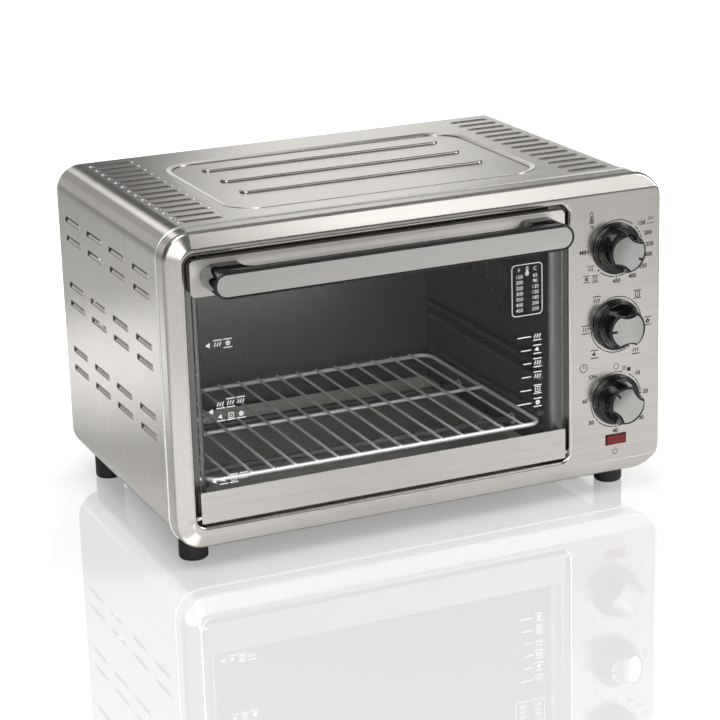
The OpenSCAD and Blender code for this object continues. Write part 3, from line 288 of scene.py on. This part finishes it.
def brushed(name, stretch, tone, rough=(0.24, 0.36), tilt=0.05, across=0.0):
    finish, tree, shader, place = start_finish(name)
    grain = put(tree, "ShaderNodeGroup", {"node_tree": grain_group}, Place=place, Stretch=stretch)
    streak, cloud = grain.outputs["Streak"], grain.outputs["Cloud"]
    light = tuple(v*1.10 for v in tone)
    dark = tuple(v*0.88 for v in tone)
    mixed = sums(tree, "ADD", sums(tree, "MULTIPLY", streak, 0.7), sums(tree, "MULTIPLY", cloud, 0.3))
    tree.links.new(blend_colour(tree, span(tree, mixed, 0.3, 0.7), (*dark, 1), (*light, 1)), shader.inputs["Base Color"])
    tree.links.new(span(tree, mixed, 0.3, 0.7, *rough), shader.inputs["Roughness"])
    bump = put(tree, "ShaderNodeBump", Strength=tilt, Distance=0.0004, Height=streak)
    tree.links.new(bump.outputs[0], shader.inputs["Normal"])
    fill(shader, Metallic=1.0)
    if across:
        lay = put(tree, "ShaderNodeTangent", {"direction_type": "UV_MAP", "uv_map": "grain"})
        tree.links.new(lay.outputs[0], shader.inputs["Tangent"])
        fill(shader, Anisotropic=across)
    return finish


def moulded(name, tone, rough, size=900.0, tilt=0.02, coat=0.0):
    finish, tree, shader, place = start_finish(name)
    speck = put(tree, "ShaderNodeGroup", {"node_tree": speckle_group}, Place=place, Size=size)
    lighter = tuple(v*1.35 + 0.002 for v in tone)
    tree.links.new(blend_colour(tree, speck.outputs["Patch"], (*tone, 1), (*lighter, 1)), shader.inputs["Base Color"])
    tree.links.new(span(tree, speck.outputs["Patch"], 0.3, 0.7, rough*0.8, rough*1.25), shader.inputs["Roughness"])
    bump = put(tree, "ShaderNodeBump", Strength=tilt, Distance=0.0003, Height=speck.outputs["Speck"])
    tree.links.new(bump.outputs[0], shader.inputs["Normal"])
    fill(shader, Coat_Weight=coat, Coat_Roughness=0.04)
    return finish


def coated_metal(name, tone, rough, metallic, size=220.0, tilt=0.05, spread=0.18):
    finish, tree, shader, place = start_finish(name)
    speck = put(tree, "ShaderNodeGroup", {"node_tree": speckle_group}, Place=place, Size=size)
    mixed = sums(tree, "ADD", sums(tree, "MULTIPLY", speck.outputs["Speck"], 0.5), sums(tree, "MULTIPLY", speck.outputs["Patch"], 0.5))
    dark = tuple(v*(1 - spread) for v in tone)
    tree.links.new(blend_colour(tree, span(tree, mixed, 0.35, 0.65), (*dark, 1), (*tone, 1)), shader.inputs["Base Color"])
    tree.links.new(span(tree, mixed, 0.35, 0.65, rough*(1 - spread), rough*(1 + spread)), shader.inputs["Roughness"])
    bump = put(tree, "ShaderNodeBump", Strength=tilt, Distance=0.0003, Height=speck.outputs["Speck"])
    tree.links.new(bump.outputs[0], shader.inputs["Normal"])
    fill(shader, Metallic=metallic)
    return finish


# %% [markdown]
# The finishes are named for where they are on the oven. Grain runs along the front, and across the
# top and down the sides of the wrap, because the wrap is one long sheet bent over the body. A few
# finishes also carry painted light or shade in their colour, and their names say so.

# %% Finishes
front_steel = brushed("front_steel", (5, 750, 750), (0.615, 0.592, 0.562), (0.18, 0.24), 0.02, 0.6)
# The rail is the same steel as the front but much lighter: painted light for what the rail mirrors.
rail_steel_painted_bright = brushed("rail_steel_painted_bright", (5, 750, 750), (0.88, 0.855, 0.815), (0.44, 0.52), 0.02, 0.8)
wrap_steel = brushed("wrap_steel", (5, 750, 5), (0.655, 0.632, 0.595), (0.17, 0.22), 0.02, 0.5)
inlay_steel = brushed("inlay_steel", (12, 1800, 1800), (0.6, 0.585, 0.565), (0.2, 0.26), 0.02, 0.6)
dial_steel = brushed("dial_steel", (1800, 1800, 12), (0.5, 0.49, 0.475), (0.24, 0.32), 0.02)
# Bright wire steel also covers the folded rim and the slot-end domes, where its lighter tone is painted highlight.
bright_wire_and_painted_glint = brushed("bright_wire_and_painted_glint", (200, 200, 200), (0.86, 0.86, 0.85), (0.26, 0.36), 0.01)
rack_wire = coated_metal("rack_wire", (0.86, 0.86, 0.85), 0.4, 0.55, 300.0, 0.002, 0.06)
# The cavity walls and fan guard are the same bare metal as the floor and tray, made far darker: painted shade inside
# the closed box.
cavity_sheet_painted_shade = coated_metal("cavity_sheet_painted_shade", (0.14, 0.135, 0.13), 0.32, 0.85, 500.0, 0.002, 0.04)
tray_sheet = coated_metal("tray_sheet", (0.52, 0.5, 0.475), 0.36, 0.8, 500.0, 0.002, 0.06)
zinc_sheet = coated_metal("zinc_sheet", (0.45, 0.45, 0.44), 0.4, 0.9, 120.0)
# The dark rod finish also lines the cuts in the wrap, as painted shade.
dark_rod_and_painted_shade = coated_metal("dark_rod_and_painted_shade", (0.12, 0.11, 0.11), 0.45, 0.6)
ceramic = coated_metal("ceramic", (0.72, 0.7, 0.64), 0.6, 0.0)
black_gloss = moulded("black_gloss", (0.004, 0.004, 0.0045), 0.035, 300.0, 0.0005)
black_matte = moulded("black_matte", (0.014, 0.014, 0.015), 0.55, 1600.0, 0.08)
black_ink = moulded("black_ink", (0.02, 0.02, 0.021), 0.6)
white_ink = moulded("white_ink", (0.86, 0.87, 0.88), 0.5)
print("finishes:", len(bpy.data.materials))

# %% [markdown]
# Glass that a lamp shines through would cast a black shadow in a path tracer. For shadow rays it is
# therefore swapped for a plain clear shader, and for all others it is ordinary glass.

# %% Glass and lens
def door_pane():
    finish, tree, shader, place = start_finish("door_pane")
    fill(shader, Base_Color=(0.97, 0.985, 0.985, 1), Transmission_Weight=1.0, IOR=1.15)
    cloud = put(tree, "ShaderNodeTexNoise", Vector=place, Scale=14.0, Detail=3.0)
    tree.links.new(span(tree, cloud.outputs[0], 0.35, 0.75, 0.0, 0.004), shader.inputs["Roughness"])
    clear = put(tree, "ShaderNodeBsdfTransparent", Color=(0.96, 0.975, 0.975, 1))
    path = put(tree, "ShaderNodeLightPath")
    swap = put(tree, "ShaderNodeMixShader", _0=path.outputs["Is Shadow Ray"], _1=shader.outputs[0], _2=clear.outputs[0])
    tree.links.new(swap.outputs[0], tree.nodes["Material Output"].inputs["Surface"])
    return finish


def lamp_red():
    finish, tree, shader, place = start_finish("lamp_red")
    ribs = put(tree, "ShaderNodeTexWave", {"wave_type": "BANDS", "bands_direction": "Z"}, Vector=place, Scale=70.0)
    tree.links.new(blend_colour(tree, ribs.outputs["Fac"], (0.09, 0.001, 0.001, 1), (0.3, 0.004, 0.003, 1)), shader.inputs["Base Color"])
    bump = put(tree, "ShaderNodeBump", Strength=0.15, Distance=0.0004, Height=ribs.outputs["Fac"])
    tree.links.new(bump.outputs[0], shader.inputs["Normal"])
    fill(shader, Roughness=0.12)
    return finish


pane, red_lens = door_pane(), lamp_red()
print("clear finishes:", pane.name, red_lens.name)

# %% [markdown]
# The solids come as loose triangles with razor edges. A real pressed or moulded edge is slightly
# round and catches a line of light. So a copy of the solid is welded, its flat faces are joined,
# its sharp edges get a small bevel, and the copy stands for the solid.

# %% Softened copies of the solids
node_body = {n: body for body, members in frame["record"]["behaviour"]["bodies"].items() for n in members}


front_grain, wrap_grain = Vector((0, 0.2, 1)), Vector((0, 1, 0))


def lay_grain(shape, across):
    along = across.orthogonal()
    grain = shape.loops.layers.uv.new("grain")
    for face in shape.faces:
        for corner in face.loops:
            corner[grain].uv = (corner.vert.co.dot(across), corner.vert.co.dot(along))


def finish_piece(name, shape, finish, body, stands_for=(), crease=35, across=None):
    mesh = bpy.data.meshes.new(name)
    if across:
        lay_grain(shape, across)
    shape.to_mesh(mesh)
    shape.free()
    mesh.polygons.foreach_set("use_smooth", [True]*len(mesh.polygons))
    mesh.set_sharp_from_angle(angle=math.radians(crease))
    mesh.materials.append(finish)
    piece = bpy.data.objects.new(name, mesh)
    bpy.context.scene.collection.objects.link(piece)
    even = piece.modifiers.new("flat_faces", "WEIGHTED_NORMAL")
    even.keep_sharp = True
    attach(piece, body)
    if stands_for:
        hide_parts(*stands_for)
    return piece


def edges_between(shape, low, high, wanted=lambda edge: True):
    return [e for e in shape.edges if len(e.link_faces) == 2 and low < math.degrees(e.calc_face_angle(0)) < high and wanted(e)]


def round_off(shape, edges, width, segments):
    bmesh.ops.bevel(shape, geom=edges, offset=width/1000, segments=segments, profile=0.5, affect="EDGES",
                    clamp_overlap=False, material=-1)


def welded_copy(node):
    shape = bmesh.new()
    shape.from_mesh(nodes[node].data)
    bmesh.ops.remove_doubles(shape, verts=shape.verts, dist=2e-6)
    bmesh.ops.dissolve_limit(shape, angle_limit=math.radians(0.5), verts=shape.verts, edges=shape.edges, delimit={"NORMAL"})
    return shape


def stand_in(node, shape, finish, crease=35, across=None):
    return finish_piece(node + "_soft", shape, finish, node_body[node], (node,), crease, across)


def softened(node, finish, width=0.0, segments=2, sharper_than=30, crease=35, across=None):
    shape = welded_copy(node)
    if width:
        round_off(shape, edges_between(shape, sharper_than, 181), width, segments)
    return stand_in(node, shape, finish, crease, across)


# %% [markdown]
# The body pieces keep the shape of their solids. Only the bevel width differs from piece to piece.

# %% Crowned plates of the dials
plate_radius, crown = 0.0174, 0.0026


def crown_plate(plate, centre, lean):
    along = Vector((math.cos(lean), 0, math.sin(lean)))
    front = min(v.co.y for v in plate.verts)
    for step in range(-7, 8):
        faces = [f for f in plate.faces if f.normal.y < -0.9 and f.calc_center_median().y < front + 1e-5]
        geom = {*faces, *(e for f in faces for e in f.edges), *(v for f in faces for v in f.verts)}
        bmesh.ops.bisect_plane(plate, geom=list(geom), dist=1e-6, plane_co=centre + along*(step*plate_radius/8), plane_no=along)
    for vert in plate.verts:
        if vert.co.y < front + 1e-5:
            vert.co.y -= crown*max(0.0, 1 - ((vert.co - centre).dot(along)/plate_radius)**2)


# %% Dress the body and the door
def on_outline(edge):
    faces_front = sorted(face.normal.y for face in edge.link_faces)
    at_rim = all(abs(v.co.x) > 0.2595 or v.co.z > 0.3342 or v.co.z < 0.0252
                 or (abs(v.co.x) > 0.2325 and not 0.052 < v.co.z < 0.3075) for v in edge.verts)
    return edge.is_convex and at_rim and faces_front[0] < -0.5 and abs(faces_front[1]) < 0.2


def on_front_plane(edge):
    return edge.is_convex and max(abs(v.co.y + 0.151) for v in edge.verts) < 0.0002


fascia = welded_copy("front_fascia")
outline = edges_between(fascia, 50, 100, on_outline)
round_off(fascia, outline, 3.0, 5)
round_off(fascia, edges_between(fascia, 20, 32, on_front_plane), 1.3, 3)
print("edges round the outline:", len(outline))
stand_in("front_fascia", fascia, front_steel, 35, front_grain)
wrap = welded_copy("outer_wrap")
# Walls inside the slots and vents get the dark rod finish as a second material: painted shade in the narrow cuts.
for face in wrap.faces:
    middle, out = face.calc_center_median(), face.normal
    in_slot = middle.z > 0.3318 and abs(out.z) < 0.3 and abs(middle.x) < 0.235
    in_vent = abs(middle.x) > 0.2572 and abs(out.x) < 0.3 and abs(middle.y) < 0.14 and 0.1 < middle.z < 0.3
    face.material_index = int(in_slot or in_vent)
print("slot walls:", sum(face.material_index for face in wrap.faces))
stand_in("outer_wrap", wrap, wrap_steel, 35, wrap_grain).data.materials.append(dark_rod_and_painted_shade)
softened("door_top_rail", rail_steel_painted_bright, 0.35, across=front_grain)
softened("door_bottom_trim", front_steel, 0.35, across=front_grain)
softened("handle_body", black_gloss, 1.0, 3)
softened("handle_inlay", inlay_steel, 0.25, across=front_grain)
for dial, z, lean in (("temperature", 0.2621, -28), ("function", 0.1835, 180), ("timer", 0.1049, 130)):
    softened(dial + "_knob", black_gloss, 0.5, 2)
    plate = welded_copy(dial + "_inlay")
    crown_plate(plate, Vector((0.2097, 0, z)), math.radians(lean))
    stand_in(dial + "_inlay", plate, dial_steel)
for name in ("foot_front_left", "foot_front_right", "foot_rear_left", "foot_rear_right"):
    softened(name, black_matte, 0.5)
softened("rear_panel", front_steel, 0.4, across=front_grain)
softened("wire_rack", rack_wire)
softened("lamp_lens", red_lens, 0.5, 3)

# %% [markdown]
# The other solids are right as they are and only need a finish in their material slots.

# %% Finish the remaining solids
def coat(finish, *names):
    for name in names:
        mesh = nodes[name].data
        mesh.materials.clear()
        mesh.materials.append(finish)


coat(cavity_sheet_painted_shade, "cavity_left_wall", "cavity_right_wall", "cavity_roof", "cavity_back", "fan_guard")
coat(tray_sheet, "cavity_floor", "crumb_tray")
coat(zinc_sheet, "base_plate", "fan_housing", "fan_blade", "door_top_clamp", "door_bottom_clamp", "fan_motor", "timer",
     "hinge_block_left", "hinge_block_right")
coat(dark_rod_and_painted_shade, "upper_front_heater", "upper_rear_heater", "lower_front_heater", "lower_rear_heater")
coat(ceramic, "heater_insulators", "thermostat", "function_switch")
coat(black_matte, "cord_gland", "lamp_holder")
coat(bright_wire_and_painted_glint, "foot_screws", "fan_shaft", "temperature_shaft", "function_shaft", "timer_shaft", "hinge_pin_left",
     "hinge_pin_right", "handle_screws")
coat(pane, "door_glass")

# %% [markdown]
# Some parts are too fine for the solid model: the folded rim where the frame meets the wrap, the dark
# frame of the lamp, the pressed rims of the vents and slots, and the rivets on the side. A rim starts
# as a plate whose corners are rounded and whose middle is cut out. A rivet is a flattened dome.

# %% Rims of the frame and the lamp
upright_page = Matrix.Rotation(math.radians(90), 4, "X") @ Matrix.Scale(0.001, 4)


def rounded_ring(width, height, corner, rim, thick, soft, steps=8, turns=3, drop=0.0):
    plate = bmesh.new()
    bmesh.ops.create_grid(plate, x_segments=1, y_segments=1, size=0.5, matrix=Matrix.Diagonal((width, height, 1, 1)))
    bmesh.ops.bevel(plate, geom=plate.verts[:], offset=corner, segments=steps, profile=0.5, affect="VERTICES", material=-1)
    middle = plate.faces[:]
    bmesh.ops.inset_region(plate, faces=middle, thickness=rim, use_boundary=True, use_even_offset=True)
    for vert in {v for face in middle for v in face.verts}:
        vert.co.z -= drop
    bmesh.ops.delete(plate, geom=middle, context="FACES")
    bmesh.ops.solidify(plate, geom=plate.faces[:], thickness=thick)
    bmesh.ops.recalc_face_normals(plate, faces=plate.faces)
    bmesh.ops.bevel(plate, geom=edges_between(plate, 60, 120), offset=soft, segments=turns, profile=0.5, affect="EDGES",
                    material=-1)
    return plate


# The folded rim gets the lighter wire steel instead of the frame's: a painted highlight along the rim.
hem = rounded_ring(522.0, 312.0, 28.0, 2.2, 2.2, 0.9)
hem.transform(Matrix.Translation((0, -0.125, 0.1797)) @ upright_page)
finish_piece("frame_hem", hem, bright_wire_and_painted_glint, "oven")
lamp_frame = rounded_ring(24.9, 13.1, 1.6, 1.7, 1.2, 0.45)
lamp_frame.transform(Matrix.Translation((0.2097, -0.151, 0.0622)) @ upright_page)
finish_piece("lamp_frame", lamp_frame, black_matte, "oven")
print("rims made")

# %% Pressed rims and rivets
def dome(shape, x, y, z, half_sizes):
    place = Matrix.Translation((x/1000, y/1000, z/1000)) @ Matrix.Diagonal((*(h/1000 for h in half_sizes), 1))
    bmesh.ops.create_uvsphere(shape, u_segments=10, v_segments=6, radius=1, matrix=place)


def rim_pattern(length, height):
    ring = rounded_ring(length + 1.8, height + 1.8, height/2 + 0.85, 0.9, 0.8, 0.3, 4, 1)
    ring.transform(Matrix.Translation((0, 0, 0.45 - max(v.co.z for v in ring.verts))))
    pattern = bpy.data.meshes.new("rim_pattern")
    ring.to_mesh(pattern)
    ring.free()
    return pattern


def stamp(shape, pattern, turn, x, y, z):
    copy = pattern.copy()
    copy.transform(Matrix.Scale(0.001, 4) @ Matrix.Translation((x, y, z)) @ turn)
    shape.from_mesh(copy)
    bpy.data.meshes.remove(copy)


rims = bmesh.new()
vent_rim, slot_rim = rim_pattern(45.0, 5.5), rim_pattern(42.0, 4.5)
for side in (-1, 1):
    upright_side = Matrix(((0, 0, side, 0), (side, 0, 0, 0), (0, 1, 0, 0), (0, 0, 0, 1)))
    for i in range(14):
        stamp(rims, slot_rim, Matrix(), side*205, -100.5 + i*20.4, 333.4)
    for pair in range(3):
        for row in range(2):
            for col in range(4):
                stamp(rims, vent_rim, upright_side, side*258.7, -73.1 + col*70.2, 284.4 - pair*69.7 - row*20)
finish_piece("pressed_rims", rims, wrap_steel, "oven", across=wrap_grain)
for pattern in (vent_rim, slot_rim):
    bpy.data.meshes.remove(pattern)
field_rim = rounded_ring(336.0, 221.0, 36.5, 6.0, 1.0, 0.3, 10, 3, drop=1.2)
lift = 333.8 - max(v.co.z for v in field_rim.verts)
field_rim.transform(Matrix.Scale(0.001, 4) @ Matrix.Translation((0, 23.0, lift)))
finish_piece("field_rim", field_rim, wrap_steel, "oven", across=wrap_grain)
# The domes at the slot ends get the lighter wire steel: painted glints.
ends = bmesh.new()
for i in range(14):
    for end in (-22.4, 22.4):
        dome(ends, end - 205, -100.5 + i*20.4, 333.5, (2.3, 1.9, 0.9))
finish_piece("slot_ends", ends, bright_wire_and_painted_glint, "oven")
rivets = bmesh.new()
for y, z in ((-105.0, 284.4), (-119.0, 260.9), (-119.0, 134.7), (-109.0, 62.5)):
    dome(rivets, -258.7, y, z, (0.9, 1.6, 1.6))
finish_piece("side_rivets", rivets, bright_wire_and_painted_glint, "oven")
print("pressed rims and rivets made")

# %% [markdown]
# The marks round the dials are screen-printed ink. A picture could carry them, but then they would
# blur close up. Here each mark is a flat shape on a page in millimetres: strokes, spots, arcs made by
# spinning a short line, and letters. The page then gets the thickness of ink and is laid on the panel.

# %% Printing helpers
def stroke(page, x0, y0, x1, y1, width=0.8):
    long, lean = math.hypot(x1 - x0, y1 - y0), math.atan2(y1 - y0, x1 - x0)
    place = (Matrix.Translation(((x0 + x1)/2, (y0 + y1)/2, 0)) @ Matrix.Rotation(lean, 4, "Z")
             @ Matrix.Diagonal((long, width, 1, 1)))
    bmesh.ops.create_grid(page, x_segments=1, y_segments=1, size=0.5, matrix=place)


def spot(page, x, y, radius, corners=14, turn=0.0):
    place = Matrix.Translation((x, y, 0)) @ Matrix.Rotation(turn, 4, "Z")
    bmesh.ops.create_circle(page, cap_ends=True, segments=corners, radius=radius, matrix=place)


def arc(page, x, y, radius, start, end, width=0.95):
    bearing = math.radians(90 - start)
    ends = [page.verts.new((x + r*math.cos(bearing), y + r*math.sin(bearing), 0)) for r in (radius - width/2, radius + width/2)]
    line = page.edges.new(ends)
    bmesh.ops.spin(page, geom=[*ends, line], cent=(x, y, 0), axis=(0, 0, 1), angle=-math.radians(end - start),
                   steps=max(3, round((end - start)/7)), use_merge=end - start >= 360)


def letters(page, text, x, y, size, bold=0.036):
    curve = bpy.data.curves.new("letters", "FONT")
    curve.body, curve.size, curve.resolution_u, curve.offset = text, size, 3, bold*size
    curve.align_x, curve.align_y = "CENTER", "CENTER"
    words = bpy.data.objects.new("letters", curve)
    bpy.context.scene.collection.objects.link(words)
    mesh = bpy.data.meshes.new_from_object(words)
    mesh.transform(Matrix.Translation((x, y, 0)))
    page.from_mesh(mesh)
    bpy.data.objects.remove(words)
    bpy.data.curves.remove(curve)
    bpy.data.meshes.remove(mesh)


def lay_print(name, page, at, ink, body):
    bmesh.ops.remove_doubles(page, verts=page.verts, dist=0.003)
    page.normal_update()
    bmesh.ops.reverse_faces(page, faces=[face for face in page.faces if face.normal.z < 0])
    bmesh.ops.solidify(page, geom=page.faces, thickness=0.04)
    bmesh.ops.recalc_face_normals(page, faces=page.faces)
    page.transform(Matrix.Translation(at) @ Matrix.Rotation(math.radians(90), 4, "X") @ Matrix.Scale(0.001, 4))
    finish_piece(name, page, ink, body, crease=20)


# %% [markdown]
# The cooking functions are shown by small signs: a heated rod is a bar, warm air is slanted strokes,
# and a slice of toast, a fan and a wedge stand for themselves.

# %% Signs for the functions
def warm_air(page, x, y, size):
    for step in (-1.9, 0, 1.9):
        stroke(page, x + (step - 0.5)*size, y - 1.5*size, x + (step + 0.5)*size, y + 1.5*size, 0.7*size)


def sign(page, kind, x, y, size=1.0):
    if "upper" in kind:
        stroke(page, x - 3.2*size, y + 3*size, x + 3.2*size, y + 3*size, 0.75*size)
    if "lower" in kind:
        stroke(page, x - 3.2*size, y - 3*size, x + 3.2*size, y - 3*size, 0.75*size)
    if "air" in kind:
        warm_air(page, x, y, size)
    if "toast" in kind:
        for side in (-1, 1):
            stroke(page, x + side*1.8*size, y - 1.9*size, x + side*1.8*size, y + 1.5*size, 0.62*size)
            stroke(page, x - 2*size, y + side*1.75*size, x + 2*size, y + side*1.75*size, 0.62*size)
        spot(page, x, y, 0.6*size)
    if "fan" in kind:
        for blade in range(5):
            bearing = math.radians(72*blade + 18)
            spot(page, x + 1.15*size*math.cos(bearing), y + 1.15*size*math.sin(bearing), 0.85*size, 5, bearing)
    if "wedge" in kind:
        spot(page, x - 0.3*size, y, 2.1*size, 3, math.radians(-20))


def thermometer(page, x, y, size=1.0):
    arc(page, x, y, 2.3*size, 30, 330, 0.9*size)
    spot(page, x, y, 1.2*size)
    stroke(page, x, y, x, y + 5.4*size, 0.9*size)
    for side in (-1, 1):
        stroke(page, x + side*1.3*size, y + 2*size, x + side*1.3*size, y + 8*size, 0.8*size)
    arc(page, x, y + 8*size, 1.3*size, -90, 90, 0.8*size)


print("signs ready")

# %% [markdown]
# The temperature scale has an arc that ends where the numbers begin, a dot for each number, and the
# signs that say which functions use it.

# %% Temperature scale
ring = 28.8
panel_front = -0.15105
dial_x = 0.2097


def dots_and_arcs(page, dots, arcs):
    for bearing in dots:
        spot(page, ring*math.sin(math.radians(bearing)), ring*math.cos(math.radians(bearing)), 1.0)
    for start, end in arcs:
        arc(page, 0, 0, ring, start, end)


page = bmesh.new()
dots_and_arcs(page, (62, 80, 100, 120, 155, 180, 225, 270), ((274, 398), (47, 57), (67, 75), (85, 95), (105, 115),
                                                        (126, 149), (160, 175), (185, 219)))
for text, x, y in (("150", 28.3, 22.0), ("200", 35.8, 11.4), ("250", 37.7, -0.5), ("300", 36.4, -11.0), ("350", 30.2, -22.3),
                   ("400", 18.2, -30.8), ("450", 0.3, -33.6), ("MIN", -36.2, 0.0)):
    letters(page, text, x, y, 5.8)
stroke(page, 34.6, 20.9, 42.6, 20.9, 0.7)
warm_air(page, 38.6, 26.0, 1.1)
sign(page, "air upper", -28.8, -18.2, 1.1)
sign(page, "fan upper lower", -33.6, -27.4, 1.1)
sign(page, "toast upper lower", -24.0, -28.2, 1.1)
thermometer(page, -27.8, 30.6)
letters(page, "°F", -27.8, 24.2, 4.8)
lay_print("temperature_scale", page, (dial_x, panel_front, 0.2621), black_ink, "oven")
print("temperature scale printed")

# %% [markdown]
# The function dial has six stops, and the timer counts minutes with a stay-on stop to the left.

# %% Function and timer scales
page = bmesh.new()
dots_and_arcs(page, range(30, 360, 60), [(start + 5, start + 55) for start in range(30, 390, 60)])
for kind, x, y in (("air upper lower", -34.6, -0.8), ("air upper", -21.9, 27.8), ("toast upper lower", 24.2, 28.2),
                   ("fan upper lower", 36.2, -1.3), ("air lower", 22.5, -29.6), ("wedge upper lower", -24.7, -27.6)):
    sign(page, kind, x, y, 1.35)
lay_print("function_scale", page, (dial_x, panel_front, 0.1835), black_ink, "oven")

page = bmesh.new()
dots_and_arcs(page, (0, 44, 85, 132, 180, 230, 275, 319), ((324, 355), (5, 15), (32, 40), (49, 80), (90, 127), (137, 175),
                                                        (185, 225), (235, 270)))
for text, x, y in (("10", 24.8, 24.0), ("20", 34.2, 3.0), ("30", 29.5, -24.5), ("40", -0.6, -33.4), ("50", -28.2, -20.9),
                   ("60", -35.5, 3.0), ("ON", -26.5, 27.3)):
    letters(page, text, x, y, 5.8)
arc(page, 0.1, 34.6, 2.8, 0, 360, 0.6)
sign(page, "toast", 9.5, 31.6, 0.95)
sign(page, "toast", 14.9, 29.6, 0.95)
stroke(page, 13.4, 29.6, 16.4, 29.6, 3.2)
arc(page, -36.9, 38.0, 4.1, 0, 360, 0.8)
stroke(page, -36.9, 37.7, -36.9, 41.0, 0.7)
stroke(page, -37.2, 38.0, -34.8, 38.9, 0.7)
arc(page, -0.8, -55.1, 2.9, 40, 320, 0.75)
stroke(page, -0.8, -54.6, -0.8, -51.2, 0.75)
lay_print("timer_scale", page, (dial_x, panel_front, 0.1049), black_ink, "oven")
print("function and timer scales printed")

# %% [markdown]
# The glass carries white enamel marks: a framed table of two temperature scales, the function signs
# with plain dashes beside them, and arrows that point at the rack positions.

# %% Marks on the glass
page = bmesh.new()
low_x, high_x, low_z, high_z, corner = 94.2, 127.2, 207.2, 259.0, 4.0
for x in (low_x, high_x):
    stroke(page, x, low_z + corner, x, high_z - corner, 0.8)
for z in (low_z, high_z):
    stroke(page, low_x + corner, z, high_x - corner, z, 0.8)
for x, z, start in ((low_x + corner, high_z - corner, 270), (high_x - corner, high_z - corner, 0),
                    (high_x - corner, low_z + corner, 90), (low_x + corner, low_z + corner, 180)):
    arc(page, x, z, corner, start, start + 90, 0.8)
letters(page, "F", 102.2, 253.4, 5.4, 0.0)
letters(page, "C", 119.6, 253.4, 5.4, 0.0)
thermometer(page, 110.9, 249.4, 0.75)
for row, (left, right) in enumerate((("150", "65"), ("200", "90"), ("250", "120"), ("300", "150"), ("350", "180"), ("400", "200"), ("450", "230"))):
    letters(page, left, 102.2, 246.7 - row*5.67, 5.2, 0.0)
    letters(page, right, 119.6, 246.7 - row*5.67, 5.2, 0.0)
for row, kind in enumerate(("air lower", "wedge upper lower", "air upper lower", "air upper", "toast upper lower", "fan upper lower")):
    sign(page, kind, 121.6, 184.6 - row*13.8, 1.4)
    stroke(page, 116.0 - (19, 15, 12, 14, 16, 20)[row]*0.85, 184.6 - row*13.8, 114.6, 184.6 - row*13.8, 1.1)
for z, rows in ((226, (("air upper", "fan upper lower"),)), (161.5, (("air lower", "air upper lower", "air upper"), ("wedge lower", "toast lower", "fan lower"))),
                (92.5, (("wedge lower", "toast upper lower", "air upper"),))):
    spot(page, -221.8, z, 3.0, 3, math.radians(90))
    for down, kinds in enumerate(rows):
        for along, kind in enumerate(kinds):
            sign(page, kind, -212.6 + along*10.2, z + (len(rows) - 1)*6.2 - down*12.4, 1.35)
lay_print("glass_marks", page, (0, -0.14975, 0), white_ink, "door")
print("glass printed")
